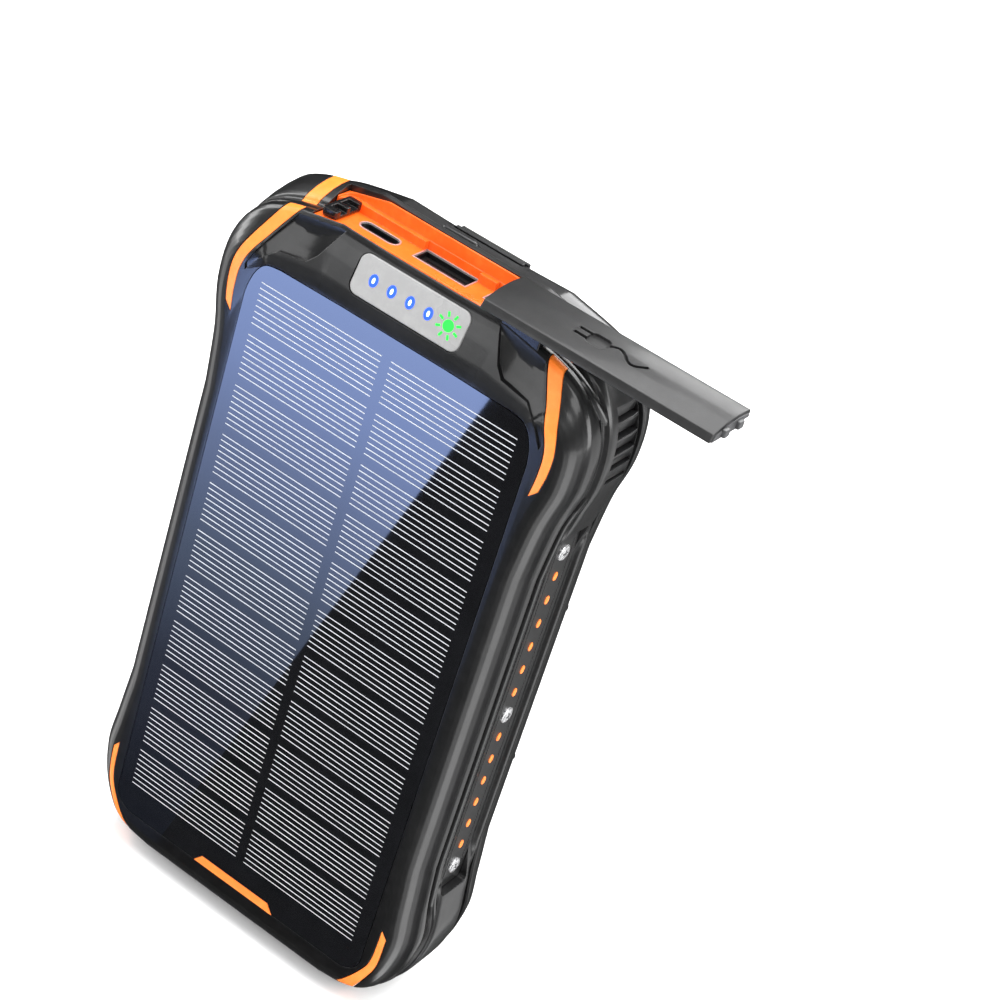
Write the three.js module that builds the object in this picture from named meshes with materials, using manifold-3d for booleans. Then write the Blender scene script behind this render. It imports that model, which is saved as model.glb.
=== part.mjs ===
// Rugged solar power bank standing on its bottom end.
// Millimetres, +X across the width, +Y from the solar face to the back, +Z up the length.
// The origin is the middle of the flat bottom end, at mid-depth.
import * as THREE from 'three';
import { mergeVertices } from 'three/addons/utils/BufferGeometryUtils.js';
import Module from 'manifold-3d';

const wasm = await Module();
wasm.setup();

// ---------------------------------------------------------------- driving dimensions
const GAP = 0.3;                    // clearance between pieces that touch
const frontY = -14;                 // plane of the solar glass
const backY = 14;                   // crest of the rear side rails
const bezelBackY = -6;              // parting plane, front bezel to middle frame
const frameFrontY = bezelBackY + GAP;
const frameBackY = 6.6;             // parting plane, middle frame to rear shell
const shellFrontY = frameBackY + GAP;
const rimZ = 157.5;                 // top of both shells
const footHalf = 24;                // half width of the flat bottom end
const cavity = { half: 35.5, bottom: 5.5, top: 149.5, radius: 8 };

const glass = { half: 33.3, bottom: 8.5, top: 144.3, radius: 7, thick: 1.4 };
const trayFloor = { front: -11.1, back: -10.3 };

const bay = { half: 26.2, front: -9.2, back: 1.3, bottom: 154.3, floor: 155.5, wall: 0.7 };
const usbA = { width: 13.2, depth: 5.6, y: -1.7, bottom: 141 };
const usbAPlaces = [-0.35, 16.1];
const usbC = { width: 9.4, depth: 3.6, y: -3, x: -14.9, bottom: 146.5 };
const socketTop = 155.2;

const cover = {
  left: 15, right: 64.5, y: -7.5, half: 6.8, bottom: 159.4, lip: 1.7, height: 2.8,
  hollow: 1.2, relief: { from: -3.2, height: 1.1 },    // the rear edge is cut short, to clear the crown
};
const stem = { x: 19.75, y: -7, radius: 1.1, top: 161.2, headRadius: 1.8, headBottom: 146.4 };

const rib = { count: 5, reach: 2.4, length: 8.4, height: 0.9, x: 44.3, y: 1, bottom: 135.4, pitch: 3.1 };
const band = { inner: 28, outer: 31.3, floor: 150.8, thick: 1 };
const strip = { outer: 39.7, inner: 37.9, half: 4.4, bottom: 31, top: 120.3 };
const dots = { pitch: 5.63, top: 115, count: 15 };
const isScrewPlace = (k) => k % 7 === 0;

const leather = { half: 31.5, bottom: 15.6, front: 11.6, back: 12.3 };
const coinScrew = { x: 23.3, z: 111.1, radius: 4 };
const pad = { half: 14.2, bottom: 32, top: 93, radius: 11, centre: 62 };
const wingScrews = [[38.1, 132.9], [37.8, 95.9], [37.8, 58], [37.6, 20.5], [30.6, 6.6], [19.6, 151.6]];

const button = { x: -2.5, y: 4.8, z: 158.9, width: 8.4, height: 3, thick: 1.6 };
const crownTilt = Math.atan2(4, 3.5);   // the rear slope of the crown, as a turn about X

const colours = {
  shell: '#2f3032', frame: '#3a3b3d', orange: '#ff8426', glass: '#0c0d10', cell: '#15171c',
  silver: '#d9dadb', panel: '#bdbdbd', leather: '#1d1d1e', pad: '#47484a', lamp: '#fbfbf8',
  metal: '#a9adb1', bay: '#ff6a1c', board: '#1d5b37', battery: '#8b94a1', copper: '#b66a35', dark: '#161617',
};

// ---------------------------------------------------------------- small solid helpers
const solidOf = (source) => {
  const bare = source.clone();
  bare.deleteAttribute('normal');
  bare.deleteAttribute('uv');
  const merged = mergeVertices(bare, 1e-4);
  const vertProperties = new Float32Array(merged.attributes.position.array);
  const triVerts = new Uint32Array(merged.index.array);
  return new wasm.Manifold(new wasm.Mesh({ numProp: 3, vertProperties, triVerts }));
};

const geometryOf = (solid) => {
  const mesh = solid.getMesh();
  const result = new THREE.BufferGeometry();
  result.setAttribute('position', new THREE.BufferAttribute(mesh.vertProperties, 3));
  result.setIndex(new THREE.BufferAttribute(mesh.triVerts, 1));
  result.computeVertexNormals();
  return result;
};

// A box between two corners.
const box = (x0, x1, y0, y1, z0, z1) =>
  new THREE.BoxGeometry(x1 - x0, y1 - y0, z1 - z0).translate((x0 + x1) / 2, (y0 + y1) / 2, (z0 + z1) / 2);

// A flat outline in the XZ plane, made into a plate between two depths.
const plate = (shape, y0, y1, curveSegments = 5) =>
  new THREE.ExtrudeGeometry(shape, { depth: y1 - y0, bevelEnabled: false, curveSegments })
    .rotateX(Math.PI / 2)
    .translate(0, y1, 0);

const rodY = (radius, x, z, y0, y1, sides = 10) =>
  new THREE.CylinderGeometry(radius, radius, y1 - y0, sides).translate(x, (y0 + y1) / 2, z);

const rodX = (radius, y, z, x0, x1, sides = 10) =>
  new THREE.CylinderGeometry(radius, radius, x1 - x0, sides)
    .rotateZ(Math.PI / 2)
    .translate((x0 + x1) / 2, y, z);

const rodZ = (radius, x, y, z0, z1, sides = 12) =>
  new THREE.CylinderGeometry(radius, radius, z1 - z0, sides)
    .rotateX(Math.PI / 2)
    .translate(x, y, (z0 + z1) / 2);

const roundedRectangle = (x0, x1, z0, z1, radius) => {
  const shape = new THREE.Shape();
  shape.absarc(x1 - radius, z0 + radius, radius, -Math.PI / 2, 0);
  shape.absarc(x1 - radius, z1 - radius, radius, 0, Math.PI / 2);
  shape.absarc(x0 + radius, z1 - radius, radius, Math.PI / 2, Math.PI);
  shape.absarc(x0 + radius, z0 + radius, radius, Math.PI, Math.PI * 1.5);
  shape.closePath();
  return shape;
};

// A closed polygon from its right half, listed from the bottom up, mirrored in X.
const mirrored = (half) => {
  const left = half.map(([x, z]) => [-x, z]).reverse();
  return new THREE.Shape([...half, ...left].map(([x, z]) => new THREE.Vector2(x, z)));
};

const polygon = (points) => new THREE.Shape(points.map(([x, z]) => new THREE.Vector2(x, z)));
const flipped = (points) => points.map(([x, z]) => [-x, z]).reverse();

const cut = (body, ...tools) => tools.reduce((left, tool) => left.subtract(solidOf(tool)), body);
const join = (first, ...rest) => rest.reduce((sum, part) => sum.add(solidOf(part)), solidOf(first));

const part = new THREE.Group();

function addPart(name, shape, colour, roughness = 0.6, metalness = 0) {
  const geometry = shape.isBufferGeometry ? shape : geometryOf(shape);
  const material = new THREE.MeshStandardMaterial({ color: colour, roughness, metalness });
  const mesh = new THREE.Mesh(geometry, material);
  mesh.name = name;
  part.add(mesh);
  return mesh;
}

// ---------------------------------------------------------------- the body's outline
// Right half, from the bottom middle to the top middle: a rounded foot, a straight waist and
// a wider shoulder that runs into the sloping top.
function bodyOutline() {
  const foot = new THREE.SplineCurve([
    [footHalf, 0], [33, 2], [38.8, 9], [41.5, 19], [40.9, 29], [40, 40],
  ].map(([x, z]) => new THREE.Vector2(x, z)));
  const shoulder = new THREE.SplineCurve([
    [40, 112], [41.1, 124], [43, 134], [42.4, 143.5], [38.6, 150.5], [32, 154.4], [19, 157.2],
  ].map(([x, z]) => new THREE.Vector2(x, z)));
  const right = [...foot.getPoints(11), ...shoulder.getPoints(14)];
  const left = right.map((p) => new THREE.Vector2(-p.x, p.y)).reverse();
  const top = [new THREE.Vector2(8, rimZ), new THREE.Vector2(-8, rimZ)];
  return [...right, ...top, ...left];
}

const outline = bodyOutline();
const outlineNormals = outline.map((_, i) => {
  const before = outline[(i + outline.length - 1) % outline.length];
  const after = outline[(i + 1) % outline.length];
  return new THREE.Vector2(after.y - before.y, before.x - after.x).normalize();
});

// A skin through copies of the outline. Each station gives a depth and how far the sides and
// the top stand outside (+) or inside (-) the outline there. The flat bottom end stays put.
function shellThrough(stations, sideShape = () => 1) {
  const positions = [];
  for (const { y, side, top } of stations) {
    outline.forEach((point, i) => {
      const normal = outlineNormals[i];
      const upward = Math.max(0, normal.y) ** 2;
      const level = normal.y < -0.9 ? Math.min(0, side) : side * sideShape(point.y);
      const reach = level * (1 - upward) + top * upward;
      positions.push(point.x + normal.x * reach, y, point.y + normal.y * reach);
    });
  }
  const count = outline.length;
  const index = [];
  for (let ring = 0; ring + 1 < stations.length; ring += 1) {
    for (let i = 0; i < count; i += 1) {
      const a = ring * count + i;
      const b = ring * count + ((i + 1) % count);
      index.push(a, a + count, b, b, a + count, b + count);
    }
  }
  const ringPoints = (ring) => Array.from({ length: count }, (_, i) => {
    const at = 3 * (ring * count + i);
    return new THREE.Vector2(positions[at], positions[at + 2]);
  });
  const last = stations.length - 1;
  for (const [a, b, c] of THREE.ShapeUtils.triangulateShape(ringPoints(0), [])) {
    index.push(a, b, c);
  }
  for (const [a, b, c] of THREE.ShapeUtils.triangulateShape(ringPoints(last), [])) {
    index.push(last * count + a, last * count + c, last * count + b);
  }
  const geometry = new THREE.BufferGeometry();
  geometry.setAttribute('position', new THREE.Float32BufferAttribute(positions, 3));
  geometry.setIndex(index);
  return geometry;
}

const cavityShape = roundedRectangle(
  -cavity.half, cavity.half, cavity.bottom, cavity.top, cavity.radius);

// Sockets and the cover's stem go down through the top wall.
const socketBox = (socket, x, extra) => box(
  x - socket.width / 2 - extra, x + socket.width / 2 + extra,
  socket.y - socket.depth / 2 - extra, socket.y + socket.depth / 2 + extra,
  socket.bottom - extra, socketTop + extra * 20);
const topWallCuts = [
  ...usbAPlaces.map((x) => socketBox(usbA, x, GAP)),
  socketBox(usbC, usbC.x, GAP),
  rodZ(stem.radius + GAP, stem.x, stem.y, cavity.top - 1, bay.floor + 1),
];
// The bay, with a relief at its right end for the corner of the turning cover.
const bayRelief = { left: 13, deeper: 1, above: 1.7 };
const bayHollow = geometryOf(join(
  box(-bay.half - GAP, bay.half + GAP, bay.front - GAP, bay.back + GAP, bay.bottom - GAP, 175),
  box(
    bayRelief.left, bay.half + GAP, bay.front, bay.back + bayRelief.deeper,
    bay.floor + bayRelief.above, 175)));

// ---------------------------------------------------------------- front bezel and its stripes
const bezelSkin = (inset) => shellThrough([
  { y: frontY, side: -5.5, top: -13 },
  { y: -13.7, side: -4.2, top: -11.2 },
  { y: -12.7, side: -2.4, top: -8 },
  { y: -10.7, side: -0.8, top: -2.2 },
  { y: -9.2, side: -0.2, top: -0.2 },
  { y: bezelBackY, side: 0, top: 0 },
].map(({ y, side, top }) => ({ y: y + inset, side: side - inset, top: top - inset })));

const shoulderStripe = (grow) => [
  [35.6 - grow, 130.8 - grow], [37.5 + grow, 132.4 - grow], [38.2 + grow, 141.5],
  [35.6 + grow, 148.2], [30.6 + grow, 158], [27.2 - grow, 158], [33.1 - grow, 147],
  [35.8 - grow, 140.4],
];
const footStripe = (grow) => [
  [35.7 - grow, 23 + grow], [35.3 - grow, 14], [29.8 - grow, 5 - grow], [32.3 + grow, 1.5 - 2 * grow],
  [37.3 + grow, 12.8], [37.6 + grow, 21.6 + grow],
];
const stripeThick = 0.9;
const frontStripes = [
  ['shoulder_stripe_right', shoulderStripe],
  ['shoulder_stripe_left', (grow) => flipped(shoulderStripe(grow))],
  ['foot_stripe_right', footStripe],
  ['foot_stripe_left', (grow) => flipped(footStripe(grow))],
];
const stripeDepth = [frontY - 1, bezelBackY - 1.5];

function stripeSolid(points) {
  const slab = solidOf(plate(polygon(points(0)), ...stripeDepth));
  return slab.intersect(solidOf(bezelSkin(0))).subtract(solidOf(bezelSkin(stripeThick)));
}

const indicator = { width: 25.6, height: 8, y: -11.55, z: 151.4, tilt: -0.29 };
const indicatorBox = (grow, front, back, drop = 0) =>
  new THREE.BoxGeometry(indicator.width + 2 * grow, back - front, indicator.height + 2 * grow)
    .translate(0, (front + back) / 2, -drop)
    .rotateX(indicator.tilt)
    .translate(0, indicator.y, indicator.z);
const indicatorBoard = { grow: -1.8, front: 0.8, back: 1.5, drop: 0.9 };

function frontBezel() {
  let body = solidOf(bezelSkin(0));
  for (const [, points] of frontStripes) {
    const slab = solidOf(plate(polygon(points(GAP)), stripeDepth[0], stripeDepth[1] + GAP));
    body = body.subtract(slab.subtract(solidOf(bezelSkin(stripeThick + GAP))));
  }
  const glassRecess = roundedRectangle(
    -glass.half - GAP, glass.half + GAP, glass.bottom - GAP, glass.top + GAP, glass.radius);
  const hollow = roundedRectangle(-cavity.half, cavity.half, cavity.bottom, 145.5, cavity.radius);
  const { grow, front, back, drop } = indicatorBoard;
  return cut(
    body,
    plate(glassRecess, frontY - 1, trayFloor.front),
    plate(hollow, trayFloor.back, bezelBackY + 1),
    indicatorBox(GAP, -3, 0.5 + GAP),
    indicatorBox(grow + GAP, front - 1, back + GAP, drop),
    bayHollow,
    rodZ(stem.radius + GAP, stem.x, stem.y, 140, bay.floor),
    rodZ(stem.headRadius + GAP, stem.x, stem.y, 140, 149),
  );
}

addPart('front_bezel', frontBezel(), colours.shell, 0.55);
for (const [name, points] of frontStripes) {
  addPart(name, stripeSolid(points), colours.orange, 0.45);
}

// ---------------------------------------------------------------- solar glass and cells
const footBadge = (grow) => mirrored([[10.6 + grow, glass.bottom + 0.1 - grow], [8.9 + grow, 10.4 + grow]]);
const glassShape = roundedRectangle(-glass.half, glass.half, glass.bottom, glass.top, glass.radius);
addPart(
  'solar_glass',
  cut(solidOf(plate(glassShape, frontY, frontY + glass.thick)), plate(footBadge(GAP), frontY - 1, -12)),
  colours.glass, 0.08);
addPart('solar_cells', box(-30.4, 30.4, -12.3, -11.4, 15.6, 140.3), colours.cell, 0.35);
addPart('foot_badge', plate(footBadge(0), frontY, trayFloor.front - GAP), colours.orange, 0.45);

addPart('indicator_window', indicatorBox(0, -0.45, 0.5), colours.panel, 0.4);
addPart(
  'indicator_board',
  indicatorBox(indicatorBoard.grow, indicatorBoard.front, indicatorBoard.back, indicatorBoard.drop),
  colours.board);

// ---------------------------------------------------------------- middle frame
// The waist steps in for the side strips and the corners stand proud of the shells.
const waistRecess = 0.9;
const cornerRise = 0.9;
const cornerShape = (z) => {
  const aboveFoot = THREE.MathUtils.smoothstep(z, 28, 42);
  const belowShoulder = 1 - THREE.MathUtils.smoothstep(z, 110, 126);
  const waist = aboveFoot * belowShoulder;
  return (1 - waist) * cornerRise - waist * waistRecess;
};
const frameSkin = shellThrough([
  { y: frameFrontY, side: 0.15, top: 0 },
  { y: -4.2, side: 0.9, top: 1 },
  { y: -1.5, side: 1, top: 2.6 },
  { y: 2.6, side: 1, top: 3.3 },
  { y: 4.9, side: 0.9, top: 1.3 },
  { y: frameBackY, side: 0.15, top: -0.2 },
], cornerShape);

const crownPocket = (grow, down, up) =>
  new THREE.BoxGeometry(button.width + 2 * grow, button.height + 2 * grow, up - down)
    .translate(0, 0, (up + down) / 2)
    .rotateX(crownTilt - Math.PI / 2)
    .translate(button.x, button.y, button.z);

// Finger ribs are left between slots cut across each shoulder, following its curve inwards.
function shoulderRibs(side) {
  return Array.from({ length: rib.count }, (_, k) =>
    new THREE.BoxGeometry(rib.reach, rib.length, rib.height)
      .rotateY(side * -0.18)
      .translate(side * (rib.x - 0.1 * k * k), rib.y, rib.bottom + rib.pitch * k));
}

// Each orange band lies in a shallow groove over the crown, between two upright planes.
function bandSlab(side, grow) {
  const [inner, outer] = [band.inner - grow, band.outer + grow];
  const right = [[inner, 145], [outer, 145], [outer, 170], [inner, 170]];
  return plate(polygon(side > 0 ? right : flipped(right)), frameFrontY - 1, frameBackY + 1);
}
const bandCore = shellThrough([
  { y: frameFrontY - 2, side: -band.thick, top: -band.thick },
  { y: -4.2, side: -band.thick, top: 1 - band.thick },
  { y: -1.5, side: -band.thick, top: 2.6 - band.thick },
  { y: 2.6, side: -band.thick, top: 3.3 - band.thick },
  { y: 4.9, side: -band.thick, top: 1.3 - band.thick },
  { y: frameBackY + 2, side: -band.thick, top: -0.2 - band.thick },
]);

function sideStripPocket(side) {
  const pocket = box(
    strip.inner - GAP, 45, -strip.half - GAP, strip.half + GAP, strip.bottom - GAP, strip.top + GAP);
  return side > 0 ? pocket : pocket.rotateZ(Math.PI);
}

function middleFrame() {
  let body = cut(
    solidOf(frameSkin),
    plate(cavityShape, frameFrontY - 1, frameBackY + 1),
    bayHollow,
    ...topWallCuts,
    crownPocket(GAP, -2, 3),
    crownPocket(-0.6, -3.2, 0),
    sideStripPocket(1),
    sideStripPocket(-1),
    ...shoulderRibs(1),
    ...shoulderRibs(-1),
  );
  const floorBlock = solidOf(box(-60, 60, -20, 20, 100, band.floor));
  for (const side of [1, -1]) {
    const groove = solidOf(bandSlab(side, GAP)).subtract(solidOf(bandCore).translate(0, 0, -GAP));
    body = body.subtract(groove.subtract(floorBlock));
  }
  return body;
}

addPart('middle_frame', middleFrame(), colours.frame, 0.6);
for (const [name, side] of [['crown_band_right', 1], ['crown_band_left', -1]]) {
  const crownBand = solidOf(bandSlab(side, 0))
    .intersect(solidOf(frameSkin))
    .subtract(solidOf(bandCore))
    .subtract(solidOf(bayHollow))
    .subtract(solidOf(box(-60, 60, -20, 20, 100, band.floor + GAP)));
  addPart(name, crownBand, colours.orange, 0.45);
}

// ---------------------------------------------------------------- side strips, lights and screws
function sideLights(side) {
  const turn = (geometry) => (side > 0 ? geometry : geometry.rotateZ(Math.PI));
  const tag = side > 0 ? 'right' : 'left';
  const places = Array.from({ length: dots.count }, (_, k) => dots.top - dots.pitch * k);
  const isScrew = (_, k) => isScrewPlace(k);
  const isDot = (_, k) => !isScrewPlace(k);
  const ovalRod = (grow, x0, x1, z) => new THREE.CylinderGeometry(1, 1, x1 - x0, 8)
    .rotateZ(Math.PI / 2)
    .scale(1, 0.7 + grow, 1.2 + grow)
    .translate((x0 + x1) / 2, 0, z);
  const barTop = places[1] + 1.9;
  const barBottom = places[dots.count - 2] - 1.9;
  const barOuter = 38.4;
  let cover = solidOf(box(strip.inner, strip.outer, -strip.half, strip.half, strip.bottom, strip.top));
  cover = cut(
    cover,
    box(strip.inner - 1, barOuter + GAP, -1.9, 1.9, barBottom - GAP, barTop + GAP),
    ...places.filter(isDot).map((z) => ovalRod(GAP, strip.inner - 1, strip.outer + 1, z)),
    ...places.filter(isScrew).map((z) => rodX(2.4, 0, z, strip.inner - 1, strip.outer + 1)),
  );
  addPart(`side_strip_${tag}`, turn(geometryOf(cover)), colours.dark, 0.3);
  const bar = join(
    box(strip.inner, barOuter, -1.6, 1.6, barBottom, barTop),
    ...places.filter(isDot).map((z) => ovalRod(0, 38, strip.outer - 0.05, z)));
  addPart(`light_bar_${tag}`, turn(geometryOf(bar)), colours.orange, 0.4);
  // The middle screw sits on the light bar, the outer two on the frame.
  places.filter(isScrew).forEach((z, k) => {
    const seat = k === 1 ? barOuter + GAP : strip.inner;
    const head = cut(
      solidOf(rodX(2, 0, z, seat, 39.6)),
      box(39.1, 40, -1.4, 1.4, z - 0.3, z + 0.3),
      box(39.1, 40, -0.3, 0.3, z - 1.4, z + 1.4));
    addPart(`side_screw_${tag}_${k + 1}`, turn(geometryOf(head)), colours.silver, 0.25, 1);
  });
}

sideLights(1);
sideLights(-1);

// ---------------------------------------------------------------- rear shell
const wellShape = mirrored([
  [31.9, 15.2], [32.5, 115], [32.5, 138], [27.2, 145.9],
]);
const windowShape = (grow) => mirrored([
  [16.2 + grow, 111.4 - grow], [20.6 + grow, 115.4 - grow], [32.3 + grow, 115.4 - grow],
  [32.3 + grow, 138 + grow * 0.4], [27.1 + grow * 0.4, 145.7 + grow],
]);
const leatherShape = (grow) => mirrored([
  [leather.half + grow, leather.bottom - grow], [leather.half + grow, 115.2 + grow],
  [20.6 - grow * 0.4, 115.2 + grow], [16.2 - grow * 0.4, 111.2 + grow], [14.6 - grow, 111.2 + grow],
  [11.4 - grow, 108 + grow],
]);
const topRecess = mirrored([[12.5, 144], [13, 147], [17, 162]]);
const footPanelShape = (grow) => mirrored([
  [23.6 + grow, 3.6 - grow], [31.5 + grow, 15 - GAP + grow],
]);
const wellY = 12.7;
const leatherFloor = leather.front - GAP;
const screwSeat = 11.6;

const rearSkin = shellThrough([
  { y: shellFrontY, side: 0, top: 0 },
  { y: 9.5, side: 0, top: 0 },
  { y: 12.3, side: -0.9, top: -0.3 },
  { y: 13.5, side: -1.9, top: -0.8 },
  { y: backY, side: -3.2, top: -1.8 },
]);

function rearShell() {
  const screwHoles = wingScrews.flatMap(([x, z]) => [x, -x].map((at) => rodY(1.9, at, z, screwSeat, 20)));
  return cut(
    solidOf(rearSkin),
    plate(cavityShape, shellFrontY - 1, 10.3),
    plate(wellShape, wellY, 20),
    plate(leatherShape(GAP), leatherFloor, 20),
    plate(windowShape(0), 10, 20),
    plate(topRecess, 12.4, 20),
    plate(footPanelShape(GAP), 12.2, 20),
    box(-6, 6, 11.2, 20, 149, 151),
    box(-8.4, 8.4, 10.9, 20, 153.2, 170),
    ...screwHoles,
  );
}

addPart('rear_shell', rearShell(), colours.shell, 0.6);
addPart('foot_panel', plate(footPanelShape(0), 12.5, 13.5), colours.frame, 0.5);
addPart('leather_panel', plate(leatherShape(0), leather.front, leather.back), colours.leather, 0.9);
addPart('lamp_diffuser', plate(windowShape(-GAP), 9.3, 12.5), colours.lamp, 0.3);
addPart('lamp_board', box(-30, 30, 7.4, 8.4, 118, 144), colours.board);

// The strap hook: a foot plate in the notch with a lip turned outwards.
const hookProfile = new THREE.Shape([
  [11.2, 153.5], [14.6, 153.5], [14.6, 156.2], [13.7, 156.2], [13.7, 154.9], [12.2, 154.9],
  [12.2, 157], [11.2, 157],
].map(([y, z]) => new THREE.Vector2(y, z)));
addPart(
  'strap_hook',
  new THREE.ExtrudeGeometry(hookProfile, { depth: 16, bevelEnabled: false })
    .rotateX(Math.PI / 2)
    .rotateZ(Math.PI / 2)
    .translate(-8, 0, 0),
  colours.frame, 0.5);

// ---------------------------------------------------------------- rear screws
const crossHead = (radius, x, z, y0, y1) => cut(
  solidOf(rodY(radius, x, z, y0, y1)),
  box(x - 1.1, x + 1.1, y1 - 0.5, y1 + 1, z - 0.25, z + 0.25),
  box(x - 0.25, x + 0.25, y1 - 0.5, y1 + 1, z - 1.1, z + 1.1));
for (const [tag, side] of [['right', 1], ['left', -1]]) {
  wingScrews.forEach(([x, z], k) => {
    const head = crossHead(1.5, side * x, z, screwSeat + GAP, 12.9);
    addPart(`rear_screw_${tag}_${k + 1}`, head, colours.metal, 0.3, 1);
  });
}

// ---------------------------------------------------------------- strap plate and its coin screws
function strapPlateShape() {
  const { x, z, radius } = coinScrew;
  const half = [[12.5, 99], [19.5, 106.8]];
  const ear = [-0.9, -0.3, 0.3, 0.9, 1.5, 2.1].map((turn) => [
    x + radius * Math.cos(turn), z + radius * Math.sin(turn),
  ]);
  return mirrored([...half, ...ear, [14.2, 105.2], [7.6, 105.2], [5.2, 107.3]]);
}
addPart('strap_plate', plate(strapPlateShape(), 12.6, 13.1), colours.silver, 0.3, 1);
for (const [tag, side] of [['right', 1], ['left', -1]]) {
  const x = side * coinScrew.x;
  const slot = new THREE.BoxGeometry(7.4, 1, 0.8).rotateY(side * 0.5).translate(x, 14.2, coinScrew.z);
  addPart(
    `coin_screw_${tag}`,
    cut(solidOf(rodY(coinScrew.radius, x, coinScrew.z, 13.4, 14, 18)), slot),
    colours.silver, 0.3, 1);
}

// ---------------------------------------------------------------- wireless charging pad
// Two fans of three arcs are sunk into the pad.
function padSolid() {
  const bevel = { bevelThickness: 0.6, bevelSize: 0.9, bevelSegments: 1 };
  const inner = pad.half - bevel.bevelSize;
  const shape = roundedRectangle(
    -inner, inner, pad.bottom + bevel.bevelSize, pad.top - bevel.bevelSize, pad.radius);
  const base = new THREE.ExtrudeGeometry(shape, { depth: 0.01, curveSegments: 5, ...bevel });
  const slab = solidOf(base.rotateX(Math.PI / 2).translate(0, 13.2, 0));
  const arcs = [];
  for (const radius of [3.3, 6.5, 10]) {
    for (const middle of [Math.PI / 2, -Math.PI / 2]) {
      const arc = new THREE.Shape();
      arc.absarc(0, pad.centre, radius + 0.45, middle - 0.78, middle + 0.78);
      arc.absarc(0, pad.centre, radius - 0.45, middle + 0.78, middle - 0.78, true);
      arc.closePath();
      arcs.push(plate(arc, 13.4, 20, 4));
    }
  }
  const lower = solidOf(box(-30, 30, 5, 12.6, 20, 110));
  return cut(slab.subtract(lower), ...arcs);
}
addPart('wireless_pad', padSolid(), colours.pad, 0.6);

// ---------------------------------------------------------------- port bay
function bayLiner() {
  const { half, front, back, bottom, floor, wall } = bay;
  const frontRoof = mirrored([[half, bottom], [half, 155.8], [19, 157.1]]);
  const backRoof = mirrored([[half, bottom], [half, 157.4], [17, 159.6]]);
  const blockSplit = -2.4;
  return cut(
    join(plate(frontRoof, front, blockSplit), plate(backRoof, blockSplit, back)),
    box(-half + wall, half - wall, front + wall, back - wall, floor, 170),
    box(bayRelief.left, half + 1, 0, back + 1, floor + bayRelief.above, 170),
    ...topWallCuts,
  );
}
addPart('bay_liner', bayLiner(), colours.bay, 0.4);

const usbASolid = (x) => cut(
  solidOf(socketBox(usbA, x, 0)),
  box(x - 6.2, x + 6.2, usbA.y - 2.4, usbA.y - 0.2, 142.5, 160),
  box(x - 6.2, x + 6.2, usbA.y + 1.6, usbA.y + 2.4, 142.5, 160),
  box(x - 6.2, x + 6.2, usbA.y - 2.4, usbA.y + 2.4, 154.2, 160));
usbAPlaces.forEach((x, k) => addPart(`usb_a_port_${k + 1}`, usbASolid(x), colours.metal, 0.3, 1));
const usbCMouth = box(usbC.x - 4.1, usbC.x + 4.1, usbC.y - 1.2, usbC.y + 1.2, 148, 160);
addPart('usb_c_port', cut(solidOf(socketBox(usbC, usbC.x, 0)), usbCMouth), colours.metal, 0.3, 1);
addPart(
  'latch_bracket',
  cut(solidOf(box(-25.2, -22, -8.2, 0.3, bay.floor + GAP, 157.4)), box(-24.4, -21, -6.5, -1.5, 156.4, 160)),
  colours.dark, 0.5);

// ---------------------------------------------------------------- port cover on its stem
// The cover lies over the right shoulder, swung half a turn away from the bay and lifted.
const coverProfile = () => {
  const { half, lip, height, relief } = cover;
  const step = relief.from - cover.y;
  const crest = new THREE.Shape();
  crest.moveTo(-half, 0);
  crest.lineTo(step, 0);
  crest.lineTo(step, relief.height);
  crest.lineTo(half, relief.height);
  crest.lineTo(half, lip);
  crest.lineTo(half - 0.8, lip + 0.2);
  crest.quadraticCurveTo(half - 3, height, 0, height);
  crest.quadraticCurveTo(-half + 3, height, -half + 0.8, lip + 0.2);
  crest.lineTo(-half, lip);
  crest.closePath();
  return crest;
};

function portCover() {
  const { left, right, y, half, bottom, relief } = cover;
  const bar = new THREE.ExtrudeGeometry(
    coverProfile(), { depth: right - left, bevelEnabled: false, curveSegments: 5 });
  bar.rotateX(Math.PI / 2).rotateZ(Math.PI / 2).translate(left, y, bottom);
  const hollow = box(
    left + 9, right - 1.2, y - half + 1.3, relief.from - 1, bottom - 1, bottom + cover.hollow);
  const pinHole = rodZ(stem.radius + GAP, stem.x, stem.y, bottom - 1, stem.top + GAP);
  const tabs = [y - 3, y + 1.6].map((at) =>
    box(right - 0.5, right + 1, at, at + 1.4, bottom + 0.4, bottom + 1.8));
  const body = tabs.reduce((sum, tab) => sum.add(solidOf(tab)), solidOf(bar));
  return cut(body, hollow, pinHole);
}
addPart('port_cover', portCover(), colours.shell, 0.5);
addPart(
  'cover_stem',
  join(
    rodZ(stem.radius, stem.x, stem.y, stem.headBottom + 1, stem.top),
    rodZ(stem.headRadius, stem.x, stem.y, stem.headBottom, stem.headBottom + 1.5)),
  colours.dark, 0.5);

// ---------------------------------------------------------------- power button and its switch
addPart('power_button', crownPocket(0, -1.1, 0.5), colours.frame, 0.5);
addPart('button_switch', crownPocket(-0.9, -2.9, -1.8), colours.dark, 0.4);

// ---------------------------------------------------------------- inside
addPart('main_board', box(-30, 30, 1.5, 2.7, 113, 149), colours.board);
addPart('battery_right', box(0.4, 34.4, -9.8, 1, 9.5, 110), colours.battery, 0.4);
addPart('battery_left', box(-34.4, -0.4, -9.8, 1, 9.5, 110), colours.battery, 0.4);
addPart('coil_shield', box(-22, 22, 7.3, 8.1, 40, 84), colours.dark);
const coilSection = [[9, -0.4], [20, -0.4], [20, 0.4], [9, 0.4], [9, -0.4]];
addPart(
  'charging_coil',
  new THREE.LatheGeometry(coilSection.map(([r, y]) => new THREE.Vector2(r, y)), 20)
    .translate(0, 8.9, pad.centre),
  colours.copper, 0.35, 0.6);

export default part;
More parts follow.
